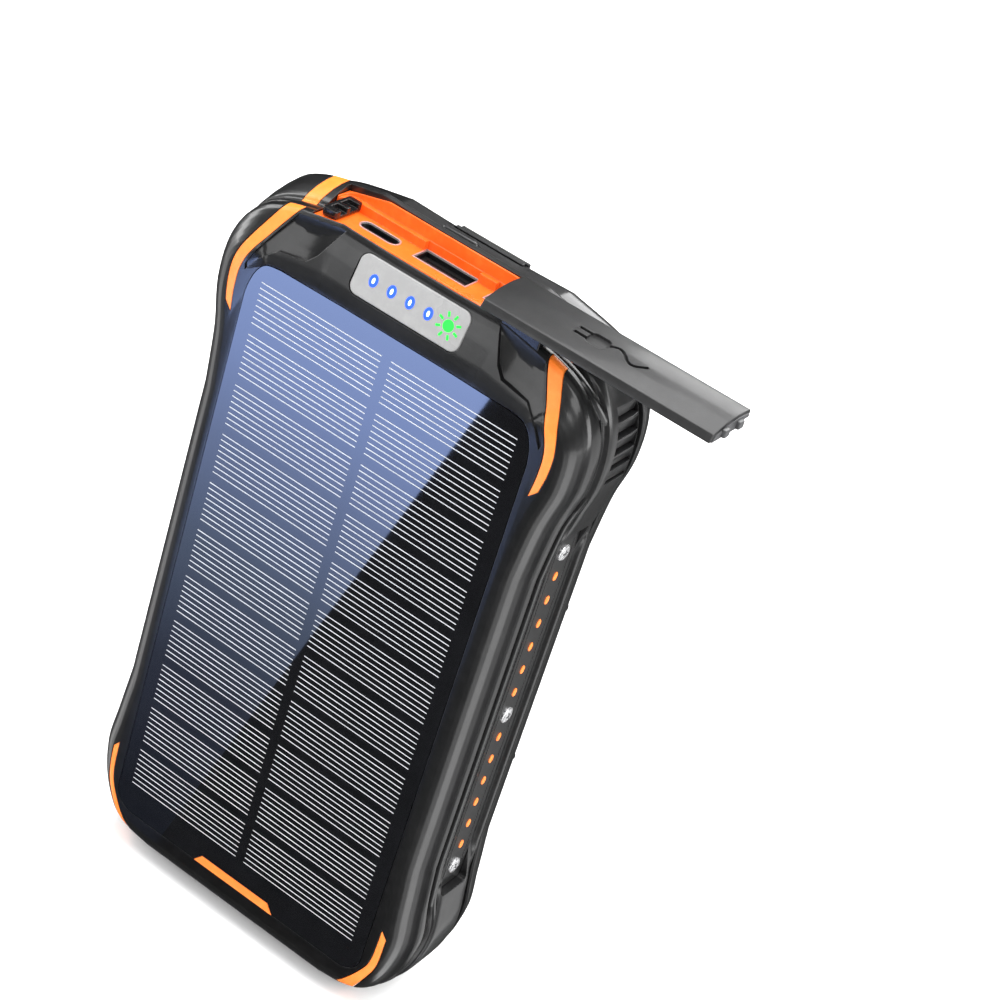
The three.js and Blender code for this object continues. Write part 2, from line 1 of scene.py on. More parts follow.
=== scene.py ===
"""Rugged solar power bank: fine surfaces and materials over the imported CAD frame.

Lengths in this script are millimetres in the row frame, turned into metres when a mesh is made.
+X runs across the width, +Y from the solar face to the back, +Z up the length.
"""
import math

import bmesh
import bpy
from mathutils import Matrix, Quaternion, Vector


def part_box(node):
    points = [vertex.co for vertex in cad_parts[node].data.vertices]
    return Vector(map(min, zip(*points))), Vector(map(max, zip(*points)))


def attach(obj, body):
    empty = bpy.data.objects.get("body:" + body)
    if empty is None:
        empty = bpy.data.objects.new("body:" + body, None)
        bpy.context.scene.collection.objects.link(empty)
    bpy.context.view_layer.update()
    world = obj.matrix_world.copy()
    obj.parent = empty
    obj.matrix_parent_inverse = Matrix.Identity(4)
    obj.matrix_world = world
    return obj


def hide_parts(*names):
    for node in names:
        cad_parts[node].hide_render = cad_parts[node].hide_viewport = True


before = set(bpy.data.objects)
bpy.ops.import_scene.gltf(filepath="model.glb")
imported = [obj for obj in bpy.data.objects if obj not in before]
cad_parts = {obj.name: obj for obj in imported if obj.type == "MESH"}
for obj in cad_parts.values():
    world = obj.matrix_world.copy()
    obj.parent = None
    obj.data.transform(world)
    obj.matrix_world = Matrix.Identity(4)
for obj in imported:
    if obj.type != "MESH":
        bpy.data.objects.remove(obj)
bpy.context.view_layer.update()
MM = 0.001


def cad_box(node):
    """Lowest and highest corner of a CAD node, in millimetres."""
    low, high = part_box(node)
    return low / MM, high / MM


# ---- places read from the frame
bezel_high = cad_box("front_bezel")[1]
middle_low, middle_high = cad_box("middle_frame")
rear_low, rear_high = cad_box("rear_shell")
glass_low, glass_high = cad_box("solar_glass")
bay_low, bay_high = cad_box("bay_liner")
cover_low, cover_high = cad_box("port_cover")
stem_low, stem_high = cad_box("cover_stem")
strip_low, strip_high = cad_box("side_strip_right")
leather_low, leather_high = cad_box("leather_panel")
pad_low, pad_high = cad_box("wireless_pad")

FRONT_Y = glass_low.y                  # plane of the solar glass
BEZEL_BACK = bezel_high.y              # parting plane, bezel to middle frame
RIM_Z = bezel_high.z                   # top of both shells
GAP = 0.15                             # seam that shows between two pieces
FOOT_HALF = 24.0                       # half width of the flat bottom end
BEHIND, ABOVE = 20, 175                # clear of the object: where cuts from the back and the top start
SMOOTH_ANGLE = 32.0                    # degrees
SIDES = ((1, "right"), (-1, "left"))
# Faces of a box whose corners are listed round one end and then round the other.
BOX_FACES = ((0, 1, 2, 3), (7, 6, 5, 4), (0, 4, 5, 1), (1, 5, 6, 2), (2, 6, 7, 3), (3, 7, 4, 0))

# ---- mesh helpers


def make_object(name, verts, faces):
    mesh = bpy.data.meshes.new(name)
    mesh.from_pydata([Vector(v) * MM for v in verts], [], faces)
    mesh.validate()
    piece = bpy.data.objects.new(name, mesh)
    bpy.context.scene.collection.objects.link(piece)
    shade_curves(piece)
    return piece


def shade_curves(piece):
    """Smooth shading that stops at edges sharper than the angle."""
    piece.data.shade_smooth()
    piece.data.set_sharp_from_angle(angle=math.radians(SMOOTH_ANGLE))


def apply_modifiers(piece):
    graph = bpy.context.evaluated_depsgraph_get()
    mesh = bpy.data.meshes.new_from_object(piece.evaluated_get(graph))
    piece.modifiers.clear()
    piece.data = mesh
    return piece


def plain_normals(piece):
    """Drops the shading that a bevel left, which a later cut would bend."""
    layers = piece.data.attributes
    if "custom_normal" in layers:
        layers.remove(layers["custom_normal"])
    shade_curves(piece)


def boolean(piece, operation, *tools):
    """piece joined with, cut by or limited to each tool. The tools are used up."""
    for tool in tools:
        modifier = piece.modifiers.new(operation.lower(), "BOOLEAN")
        modifier.operation = operation
        modifier.solver = "MANIFOLD"
        modifier.object = tool
    plain_normals(apply_modifiers(piece))
    for tool in tools:
        bpy.data.objects.remove(tool)
    return piece


def cut(piece, *tools):
    return boolean(piece, "DIFFERENCE", *tools)


def soften(piece, width=0.3, segments=3, angle=40.0):
    """Rounds the sharp edges of a piece."""
    modifier = piece.modifiers.new("soften", "BEVEL")
    modifier.width = width * MM
    modifier.segments = segments
    modifier.limit_method = "ANGLE"
    modifier.angle_limit = math.radians(angle)
    modifier.harden_normals = True
    return apply_modifiers(piece)


def make_solid(name, verts, faces):
    """A closed mesh with its faces pointing out."""
    piece = make_object(name, verts, faces)
    work = bmesh.new()
    work.from_mesh(piece.data)
    bmesh.ops.recalc_face_normals(work, faces=work.faces)
    work.to_mesh(piece.data)
    work.free()
    return piece


def prism(name, outline, low, high, axis="Y"):
    """A closed outline made solid between two levels. The outline is (x, z) along Y,
    (x, y) along Z and (y, z) along X."""
    place = {
        "Y": lambda a, b, c: (a, c, b),
        "Z": lambda a, b, c: (a, b, c),
        "X": lambda a, b, c: (c, a, b),
    }[axis]
    count = len(outline)
    verts = [place(a, b, low) for a, b in outline] + [place(a, b, high) for a, b in outline]
    faces = [tuple(range(count)), tuple(range(2 * count - 1, count - 1, -1))]
    faces += [(i, i + count, (i + 1) % count + count, (i + 1) % count) for i in range(count)]
    return make_solid(name, verts, faces)


def upright(name, outline, low, high):
    """An outline in plan, (x, y), made solid between two heights."""
    return prism(name, outline, low, high, axis="Z")


def block(name, low, high):
    """A box between two corners."""
    outline = [(low[0], low[1]), (high[0], low[1]), (high[0], high[1]), (low[0], high[1])]
    return upright(name, outline, low[2], high[2])


def rectangle(x, y, half_x, half_y):
    x0, x1, y0, y1 = x - half_x, x + half_x, y - half_y, y + half_y
    return [(x0, y0), (x1, y0), (x1, y1), (x0, y1)]


def rounded(x0, x1, z0, z1, radius, steps=10):
    """Outline of a rectangle with round corners."""
    points = []
    corners = ((x1, z0, -90), (x1, z1, 0), (x0, z1, 90), (x0, z0, 180))
    for x, z, start in corners:
        centre_x = x - radius if x == x1 else x + radius
        centre_z = z - radius if z == z1 else z + radius
        for k in range(steps + 1):
            turn = math.radians(start + 90 * k / steps)
            points.append((centre_x + radius * math.cos(turn), centre_z + radius * math.sin(turn)))
    return points


def ellipse(cx, cz, rx, rz, steps=24):
    turns = [math.tau * k / steps for k in range(steps)]
    return [(cx + rx * math.cos(t), cz + rz * math.sin(t)) for t in turns]


def mirrored(half):
    """A closed outline from its right half, listed from the bottom up."""
    return half + [(-x, z) for x, z in reversed(half)]


def flipped(outline):
    return [(-x, z) for x, z in reversed(outline)]


def bar_outline(points, width):
    """Outline of a line of even width along the points."""
    left, right = [], []
    for i, (x, z) in enumerate(points):
        before = points[max(0, i - 1)]
        after = points[min(len(points) - 1, i + 1)]
        run = Vector((after[0] - before[0], after[1] - before[1])).normalized()
        left.append((x - run.y * width / 2, z + run.x * width / 2))
        right.append((x + run.y * width / 2, z - run.x * width / 2))
    return left + right[::-1]


def arc(cx, cz, radius, start, end, steps=14):
    turns = [math.radians(start + (end - start) * k / steps) for k in range(steps + 1)]
    return [(cx + radius * math.cos(t), cz + radius * math.sin(t)) for t in turns]


def turned(piece, matrix):
    """Moves a piece's own points, so that its object stays at the origin."""
    piece.data.transform(matrix)
    return piece


def spaced(first, last, count):
    return [first + (last - first) * k / (count - 1) for k in range(count)]


def placed(piece, centre, out, up=(0, 0, 1)):
    """Stands a piece made about the origin at centre (mm): its +Y turns to point along out."""
    back = Vector(out).normalized()
    top = (Vector(up) - back * Vector(up).dot(back)).normalized()
    side = back.cross(top)
    turn = Matrix((side, back, top)).transposed().to_4x4()
    return turned(piece, Matrix.Translation(Vector(centre) * MM) @ turn)


def revolve(name, profile, steps=40):
    """A solid of revolution about Y from (radius, y) points that start and end on the axis."""
    verts = [(0, profile[0][1], 0)]
    rings = []
    for radius, y in profile[1:-1]:
        rings.append(len(verts))
        for k in range(steps):
            turn = math.tau * k / steps
            verts.append((radius * math.cos(turn), y, radius * math.sin(turn)))
    verts.append((0, profile[-1][1], 0))
    last = len(verts) - 1
    faces = []
    for k in range(steps):
        after = (k + 1) % steps
        faces.append((0, rings[0] + after, rings[0] + k))
        faces.append((last, rings[-1] + k, rings[-1] + after))
        for low, high in zip(rings, rings[1:]):
            faces.append((low + k, low + after, high + after, high + k))
    return make_solid(name, verts, faces)


def dress(piece, material, slot, *nodes, body="housing"):
    """Gives a piece its material and its body, and hides the CAD nodes it stands for. The record slot is not
    used.
    """
    piece.data.materials.clear()
    piece.data.materials.append(material)
    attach(piece, body)
    if nodes:
        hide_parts(*nodes)
    return piece


# ---- materials


class Nodes:
    """A short way to lay out one material's node tree."""

    def __init__(self, name):
        self.material = bpy.data.materials.new(name)
        self.material.use_nodes = True
        self.tree = self.material.node_tree
        self.shader = self.tree.nodes["Principled BSDF"]
        self.coordinates = self.add("ShaderNodeTexCoord").outputs["Object"]

    def add(self, kind, **inputs):
        node = self.tree.nodes.new(kind)
        for key, value in inputs.items():
            self.put(node, key.replace("_", " "), value)
        return node

    def put(self, node, key, value):
        if isinstance(value, bpy.types.NodeSocket):
            self.tree.links.new(value, node.inputs[key])
        else:
            node.inputs[key].default_value = value

    def set(self, **inputs):
        for key, value in inputs.items():
            self.put(self.shader, key.replace("_", " "), value)

    def noise(self, size_mm, detail=3.0, roughness=0.55):
        """Noise with features of about that size."""
        node = self.add("ShaderNodeTexNoise", Vector=self.coordinates, Scale=1000.0 / size_mm,
                        Detail=detail, Roughness=roughness)
        return node.outputs["Fac"]

    def ramp(self, value, low, high, out_low, out_high):
        node = self.add("ShaderNodeMapRange", Value=value)
        node.inputs["From Min"].default_value = low
        node.inputs["From Max"].default_value = high
        node.inputs["To Min"].default_value = out_low
        node.inputs["To Max"].default_value = out_high
        return node.outputs["Result"]

    def mix(self, factor, first, second):
        node = self.tree.nodes.new("ShaderNodeMix")
        node.data_type = "RGBA"
        self.put(node, "Factor", factor)
        for index, value in ((6, first), (7, second)):
            if isinstance(value, bpy.types.NodeSocket):
                self.tree.links.new(value, node.inputs[index])
            else:
                node.inputs[index].default_value = (*value, 1.0)
        return node.outputs[2]

    def bump(self, height, depth_mm, edge_mm=0.25):
        """Relief of that depth over edges rounded for the light by edge_mm."""
        edges = self.add("ShaderNodeBevel", Radius=edge_mm * MM)
        edges.samples = 6
        node = self.add("ShaderNodeBump", Height=height, Distance=depth_mm * MM, Strength=1.0,
                        Normal=edges.outputs["Normal"])
        self.set(Normal=node.outputs["Normal"])


def plastic(name, colour, light, roughness, grain_mm=0.22, depth_mm=0.012, coat=0.0):
    """Moulded plastic with a fine spark-eroded grain, cloudy gloss and a trace of dust."""
    nodes = Nodes(name)
    cloud = nodes.noise(14.0, 4.0)
    grain = nodes.noise(grain_mm, 2.0, 0.6)
    scuff = nodes.noise(2.5, 6.0, 0.7)
    tint = nodes.ramp(scuff, 0.45, 0.75, 0.0, 1.0)
    nodes.set(Base_Color=nodes.mix(tint, colour, light),
              Roughness=nodes.ramp(cloud, 0.3, 0.7, roughness - 0.05, roughness + 0.06))
    nodes.bump(grain, depth_mm)
    nodes.shader.inputs["Coat Weight"].default_value = coat
    nodes.shader.inputs["Coat Roughness"].default_value = 0.12
    return nodes.material


def brushed_metal(name, colour, roughness, metallic=1.0, stretch=(1.0, 30.0, 30.0)):
    nodes = Nodes(name)
    mapping = nodes.add("ShaderNodeMapping", Vector=nodes.coordinates)
    mapping.inputs["Scale"].default_value = stretch
    lines = nodes.add("ShaderNodeTexNoise", Vector=mapping.outputs["Vector"], Scale=160.0, Detail=4.0)
    value = lines.outputs["Fac"]
    darker = tuple(c * 0.8 for c in colour)
    nodes.set(Base_Color=nodes.mix(value, darker, colour), Metallic=metallic,
              Roughness=nodes.ramp(value, 0.3, 0.7, roughness - 0.06, roughness + 0.08))
    nodes.bump(value, 0.006, 0.12)
    return nodes.material


def glow(name, colour, strength, rough=0.35):
    nodes = Nodes(name)
    shade = nodes.ramp(nodes.noise(1.2), 0.3, 0.7, 0.92, 1.0)
    tint = nodes.mix(shade, tuple(c * 0.8 for c in colour), colour)
    nodes.set(Base_Color=tint, Emission_Color=tint, Roughness=rough)
    nodes.shader.inputs["Emission Strength"].default_value = strength
    nodes.bump(nodes.noise(0.3), 0.004, 0.1)
    return nodes.material


def leather_material():
    """Pebbled hide: rounded cells of two sizes, with the raised cells painted lighter as a painted highlight
    and the creases between them painted darker as painted shade.
    """
    nodes = Nodes("leather_hide")
    cells = []
    for size in (0.52, 0.28):
        node = nodes.add("ShaderNodeTexVoronoi", Vector=nodes.coordinates, Scale=1000.0 / size)
        node.feature = "SMOOTH_F1"
        node.inputs["Smoothness"].default_value = 0.6
        cells.append(node.outputs["Distance"])
    both = nodes.add("ShaderNodeMath")
    both.operation = "MULTIPLY_ADD"
    nodes.put(both, 0, cells[1])
    both.inputs[1].default_value = 0.35
    nodes.put(both, 2, cells[0])
    raised = nodes.ramp(both.outputs[0], 0.15, 0.75, 1.0, 0.0)
    # Painted light: the raised cells get a lighter colour as a painted highlight and the creases a darker one
    # as painted shade.
    nodes.set(Base_Color=nodes.mix(raised, (0.006, 0.006, 0.006), (0.022, 0.022, 0.023)),
              Roughness=nodes.ramp(raised, 0.0, 1.0, 0.75, 0.45))
    nodes.bump(raised, 0.11, 0.2)
    return nodes.material


def cell_material():
    """Dark silicon under glass with a faint crystal cloud and a deep gloss."""
    nodes = Nodes("solar_silicon")
    cloud = nodes.noise(9.0, 5.0)
    speck = nodes.noise(0.35, 2.0)
    shade = nodes.mix(cloud, (0.0035, 0.0036, 0.0042), (0.0075, 0.0078, 0.009))
    nodes.set(Base_Color=shade, Roughness=nodes.ramp(speck, 0.3, 0.7, 0.02, 0.035))
    nodes.shader.inputs["IOR"].default_value = 1.5
    return nodes.material


SHELL = plastic("shell_black", (0.0055, 0.0056, 0.006), (0.009, 0.009, 0.0095), 0.33, coat=0.4)
MIDDLE = plastic("frame_charcoal", (0.0075, 0.0076, 0.008), (0.012, 0.012, 0.0125), 0.36, coat=0.4)
DARK = plastic("gloss_black", (0.006, 0.006, 0.0065), (0.011, 0.011, 0.012), 0.22, depth_mm=0.004)
COVER_GREY = plastic("cover_grey", (0.012, 0.012, 0.0125), (0.018, 0.018, 0.0185), 0.4, coat=0.2)
ORANGE = plastic("orange_trim", (0.95, 0.205, 0.018), (1.0, 0.26, 0.035), 0.38, depth_mm=0.004)
BAY_ORANGE = plastic("orange_bay", (0.95, 0.125, 0.01), (1.0, 0.17, 0.02), 0.3, depth_mm=0.003)
LIP_GREY = plastic("lip_grey", (0.05, 0.05, 0.052), (0.075, 0.075, 0.078), 0.3)
PANEL = plastic("indicator_grey", (0.27, 0.27, 0.27), (0.31, 0.31, 0.31), 0.3, depth_mm=0.002)
PAD = plastic("pad_rubber", (0.02, 0.0205, 0.021), (0.028, 0.028, 0.029), 0.55, grain_mm=0.35)
FINGER = plastic("silver_fingers", (0.52, 0.54, 0.57), (0.62, 0.64, 0.67), 0.25, depth_mm=0.001)
STEEL = brushed_metal("bright_steel", (0.6, 0.6, 0.61), 0.3, metallic=0.7)
DARK_STEEL = brushed_metal("dark_steel", (0.2, 0.2, 0.21), 0.25)
# Painted shade: the socket shells are painted near black so that the inside of each socket reads dark.
SOCKET_PAINTED_SHADE = brushed_metal("socket_painted_shade", (0.08, 0.08, 0.085), 0.35)
SCREW_STEEL = brushed_metal("screw_steel", (0.72, 0.72, 0.73), 0.25, metallic=0.75)
LEATHER = leather_material()
CELL = cell_material()
LAMP = glow("lamp_white", (0.95, 0.95, 0.94), 0.9, 0.4)
BLUE = glow("led_blue", (0.004, 0.07, 0.9), 0.55)
LED_WHITE = glow("led_white", (0.75, 0.92, 1.0), 1.0)
GREEN = glow("sun_green", (0.003, 0.85, 0.035), 0.7)
THREAD = plastic("stitch_thread", (0.02, 0.02, 0.02), (0.035, 0.035, 0.035), 0.7)

# ---- the body's outline


def spline(points, steps):
    """Points along a smooth curve through the given ones."""
    result = []
    last = len(points) - 1
    for k in range(steps + 1):
        at = last * k / steps
        i = min(int(at), last - 1)
        w = at - i
        p0, p1 = Vector(points[max(i - 1, 0)]), Vector(points[i])
        p2, p3 = Vector(points[i + 1]), Vector(points[min(i + 2, last)])
        v0, v1 = (p2 - p0) / 2, (p3 - p1) / 2
        result.append((2 * p1 - 2 * p2 + v0 + v1) * w ** 3
                      + (-3 * p1 + 3 * p2 - 2 * v0 - v1) * w ** 2 + v0 * w + p1)
    return result


def line(start, end, steps):
    return [Vector(start).lerp(Vector(end), k / steps) for k in range(1, steps)]


def body_outline():
    """Right half from the bottom middle upwards, then mirrored: round foot, straight waist,
    wide shoulder and sloping top, with a point about every 0.8 mm."""
    foot = spline([(FOOT_HALF, 0), (33, 2), (38.8, 9), (41.5, 19), (40.9, 29), (40, 40)], 64)
    shoulder = spline([(40, 112), (41.1, 124), (43, 134), (42.4, 143.5), (38.6, 150.5),
                       (32, 154.4), (19, 157.2)], 80)
    crown = line((19, 157.2), (8, RIM_Z), 14) + [Vector((8, RIM_Z))]
    right = line((0, 0), (FOOT_HALF, 0), 12) + foot + line((40, 40), (40, 112), 40) + shoulder + crown
    right += line((8, RIM_Z), (0, RIM_Z), 8)
    middle_bottom, middle_top = Vector((0, 0)), Vector((0, RIM_Z))
    left = [Vector((-p.x, p.y)) for p in reversed(right)]
    return [middle_bottom, *right, middle_top, *left]


OUTLINE = body_outline()
COUNT = len(OUTLINE)
NORMALS = []
for index in range(COUNT):
    run = OUTLINE[(index + 2) % COUNT] - OUTLINE[index - 2]
    NORMALS.append(Vector((run.y, -run.x)).normalized())


def smoothstep(value, low, high):
    t = min(1.0, max(0.0, (value - low) / (high - low)))
    return t * t * (3 - 2 * t)


def between(stations, steps):
    """Fills in stations evenly, so that each stretch has the given steps."""
    dense = []
    for first, second in zip(stations, stations[1:]):
        for k in range(steps):
            w = k / steps
            dense.append(tuple(a + (b - a) * w for a, b in zip(first, second)))
    dense.append(stations[-1])
    return dense


def skin(name, stations, inset=0.0, side_shape=lambda z: 1.0, shift=None, relief=None):
    """A solid through copies of the outline. A station is (y, side, top, follow): a depth, how
    far the sides and the top stand out there, and how far it follows the parting line's shift.
    relief(x, z, y) sinks points inwards."""
    verts = []
    for y, side, top, follow in stations:
        for point, normal in zip(OUTLINE, NORMALS):
            upward = max(0.0, normal.y) ** 2
            level = min(0.0, side) if normal.y < -0.9 else side * side_shape(point.y)
            reach = level * (1 - upward) + top * upward - inset
            moved = follow * shift(point, normal) if shift else 0.0
            x, z = point.x + normal.x * reach, point.y + normal.y * reach
            sunk = relief(x, z, y) if relief else 0.0
            verts.append((x - normal.x * sunk * 0.6, y + inset + moved + sunk * 0.6,
                          z - normal.y * sunk * 0.6))
    faces = []
    for ring in range(len(stations) - 1):
        for i in range(COUNT):
            a, b = ring * COUNT + i, ring * COUNT + (i + 1) % COUNT
            faces.append((a, a + COUNT, b + COUNT, b))
    faces.append(tuple(range(COUNT)))
    faces.append(tuple(range(len(verts) - 1, len(verts) - COUNT - 1, -1)))
    return make_solid(name, verts, faces)


def lip_shift(point, normal):
    """The parting line runs towards the back round the shoulders and the foot."""
    shoulder = smoothstep(point.y, 124, 134) * (1 - smoothstep(point.y, 144, 153))
    foot = smoothstep(point.y, 4, 14) * (1 - smoothstep(point.y, 22, 34))
    return abs(normal.x) * (3.4 * shoulder + 2.4 * foot)


def hollowed_corner(x, z, y):
    """The floor of the sunk corner patches dips towards its middle."""
    across = smoothstep(abs(x), 17, 24) * (1 - smoothstep(abs(x), 25, 33))
    return 0.9 * across * smoothstep(z, 144.0, 150.0) * smoothstep(-y, 9.3, 11.0)


BEZEL_FACE = [
    (FRONT_Y, -5.6, -13.2, 0.0), (-13.93, -5.2, -12.2, 0.0), (-13.7, -4.3, -11.0, 0.0),
    (-13.3, -3.4, -9.4, 0.0), (-12.7, -2.5, -7.6, 0.0), (-11.9, -1.65, -5.2, 0.0),
    (-10.9, -0.9, -2.6, 0.0), (-10.1, -0.45, -1.0, 0.0), (-9.4, -0.2, -0.25, 0.0),
    (-8.6, -0.02, -0.02, 0.25),
]
BEZEL_LIP = [
    (-8.1, -0.05, 0.0, 0.5), (-7.85, -0.75, 0.0, 0.7), (-7.35, -0.85, 0.0, 0.8),
    (-7.15, 0.2, 0.0, 0.9), (-6.9, 0.5, 0.0, 1.0), (-6.3, 0.5, 0.0, 1.0),
    (BEZEL_BACK, 0.1, 0.0, 1.0),
]
REAR_FACE = [
    (rear_low.y, 0.1, 0.0, 1.0), (7.2, 0.35, 0.0, 1.0), (7.6, 0.35, 0.0, 0.9), (7.9, 0.0, 0.0, 0.8),
    (8.6, 0.0, 0.0, 0.6), (10.0, -0.1, -0.05, 0.2), (11.3, -0.45, -0.2, 0.0),
    (12.4, -1.05, -0.5, 0.0), (13.2, -1.8, -0.95, 0.0), (13.75, -2.7, -1.5, 0.0),
    (rear_high.y, -3.7, -2.2, 0.0),
]
FRAME_SIDE = [
    (middle_low.y, -0.5, -0.3, 1.0), (-5.0, -0.4, 0.1, 0.9), (-4.6, 0.7, 0.6, 0.8),
    (-3.8, 0.95, 1.2, 0.6), (-1.8, 1.0, 2.3, 0.3), (0.4, 1.0, 3.0, 0.0), (2.6, 1.0, 3.3, 0.0),
    (3.9, 0.97, 2.6, 0.3), (5.0, 0.9, 1.3, 0.6), (5.6, 0.6, 0.5, 0.8), (5.9, -0.4, -0.1, 0.9),
    (middle_high.y, -0.5, -0.3, 1.0),
]


def rear_shift(point, normal):
    """The rear parting line moves back a little round the same corners."""
    return 0.35 * lip_shift(point, normal)


def corner_shape(z):
    """The middle frame stands proud at the corners and steps in along the waist."""
    waist = smoothstep(z, 28, 42) * (1 - smoothstep(z, 110, 126))
    return (1 - waist) * 0.9 - waist * 0.9


def bezel_solid(name, inset=0.0, relief=None):
    stations = between(BEZEL_FACE, 4)[:-1] + between([BEZEL_FACE[-1], *BEZEL_LIP], 2)
    return skin(name, stations, inset, shift=lip_shift, relief=relief)


def frame_solid(name, inset=0.0):
    return skin(name, between(FRAME_SIDE, 3), inset, corner_shape)


# ---- front bezel and stripes
bay = dict(x0=bay_low.x, x1=bay_high.x, y0=bay_low.y, y1=bay_high.y, z0=bay_low.z)


def glass_outline(grow=0.0):
    """The glass: slanted upper corners, rounder lower ones and a faintly crowned top edge."""
    half = (glass_high.x - glass_low.x) / 2 + grow
    top, bottom = glass_high.z + grow, glass_low.z - grow
    lower = arc(half - 5, bottom + 5, 5, -90, 0, 10)
    upper = spline([(half, top - 8.5), (half - 0.35, top - 6), (half - 1.4, top - 2.9),
                    (half - 3.2, top - 0.9), (half - 6.5, top - 0.25)], 20)
    return mirrored([*lower, *[(p.x, p.y) for p in upper], (12, top)])


def shoulder_stripe(grow=0.0):
    """The ribbon that runs up the bezel's shoulder, pointed at its lower end."""
    outer = spline([(37.1, 132.4), (37.8, 137), (37.5, 142), (35.2, 148.1), (30.4, 158)], 24)
    inner = spline([(27.2, 158), (32.9, 147.4), (35.6, 141.2), (36.0, 136), (35.5, 130.6)], 24)
    return [(p.x + grow, p.y + grow * 0.4) for p in outer] + [(p.x - grow, p.y - grow * 0.4) for p in inner]


def foot_stripe(grow=0.0):
    outer = spline([(31.2, 0.9), (34.8, 8.4), (36.7, 13.8), (37.1, 21.4)], 20)
    inner = spline([(35.8, 23.2), (35.4, 14.6), (33.2, 9.4), (28.6, 2.6)], 20)
    return [(p.x + grow, p.y - grow) for p in outer] + [(p.x - grow, p.y + grow) for p in inner]


def stripe_slab(outline):
    return prism("slab", outline, FRONT_Y - 2, -7.9)


def corner_patch():
    """Outline of the sunk patch between the raised middle field and the shoulder stripe."""
    seam = [(16.6, 161), (17.2, 157.6), (21.0, 149.9), (22.8, 148.0), (29.0, 146.9), (32.6, 143.6),
            (34.6, 140.2)]
    along_stripe = [(34.9, 141.4), (32.3, 147.4), (26.6, 158), (26.4, 161)]
    return seam + along_stripe


def make_bezel():
    """The front shell with its glass recess, sunk corner patches and stripe grooves."""
    body = bezel_solid("front_shell")
    tools = [prism("recess", glass_outline(0.12), FRONT_Y - 2, -11.3)]
    for points in (corner_patch(), flipped(corner_patch())):
        patch = prism("patch", points, FRONT_Y - 2, -10.0)
        tools.append(cut(patch, bezel_solid("floor", 0.4, hollowed_corner)))
    for outline in (shoulder_stripe, foot_stripe):
        for points in (outline(GAP), flipped(outline(GAP))):
            core = bezel_solid("core", 0.9)
            tools.append(cut(stripe_slab(points), core))
    hollow = rounded(-35.5, 35.5, 6, 145, 8)
    tools.append(prism("hollow", hollow, -10.3, 0))
    tools.append(block("bay_cut", (bay["x0"] - GAP, bay["y0"] - GAP, bay["z0"]), (bay["x1"] + GAP, 5, ABOVE)))
    tools.append(indicator_plate("indicator_cut", 0.12, -3.0, 1.0))
    cut(body, *tools)
    return dress(body, SHELL, "shell_plastic", "front_bezel")


def make_stripe(name, points, *nodes):
    """An orange inlay that follows the bezel's surface."""
    piece = stripe_slab(points)
    boolean(piece, "INTERSECT", bezel_solid("limit", 0.06))
    cut(piece, bezel_solid("core", 0.8))
    return dress(piece, ORANGE, "orange_plastic", *nodes)


# ---- indicator window
INDICATOR = dict(centre=Vector((0, -11.62, 151.3)), tilt=-0.30, width=25.4, height=8.2)


def indicator_plate(name, grow, front, back):
    """The window's plate on the sloping field above the glass."""
    half, tall = INDICATOR["width"] / 2 + grow, INDICATOR["height"] / 2 + grow
    outline = rounded(-half, half, -tall, tall, 1.9 + grow, 8)
    piece = prism(name, outline, front, back)
    return on_indicator(piece)


def on_indicator(piece):
    turn = Matrix.Rotation(INDICATOR["tilt"], 4, "X")
    return turned(piece, Matrix.Translation(INDICATOR["centre"] * MM) @ turn)


def indicator_mark(name, outline, proud, material):
    """A light or sign that stands a hair proud of the window."""
    mark = on_indicator(prism(name, outline, -0.37 - proud, 0.2))
    dress(mark, material, "indicator_plastic")


def make_indicator():
    """The grey window with four blue charge lights and a green sun."""
    plate = indicator_plate("indicator_window_fine", 0, -0.35, 0.7)
    dress(soften(plate, 0.25, 3), PANEL, "indicator_plastic", "indicator_window")
    for k in range(4):
        x = -8.35 + 4.25 * k
        indicator_mark(f"charge_light_{k + 1}", ellipse(x, 0, 0.95, 1.25), 0.03, BLUE)
        indicator_mark(f"charge_light_core_{k + 1}", ellipse(x, 0, 0.3, 0.58), 0.07, LED_WHITE)
    centre_x = 9.0
    indicator_mark("sun_disc", ellipse(centre_x, 0, 1.15, 1.15), 0.05, GREEN)
    for k in range(8):
        turn = math.tau * (k + 0.5) / 8
        ray = [(centre_x + r * math.cos(turn), r * math.sin(turn)) for r in (1.65, 2.6)]
        indicator_mark(f"sun_ray_{k + 1}", bar_outline(ray, 0.42), 0.05, GREEN)


# ---- solar glass
CELLS = dict(groups=11, fingers=8, group_pitch=11.48, finger_pitch=1.268, top=139.8, thick=0.2,
             columns=((-30.2, -1.25), (0.95, 30.05)))


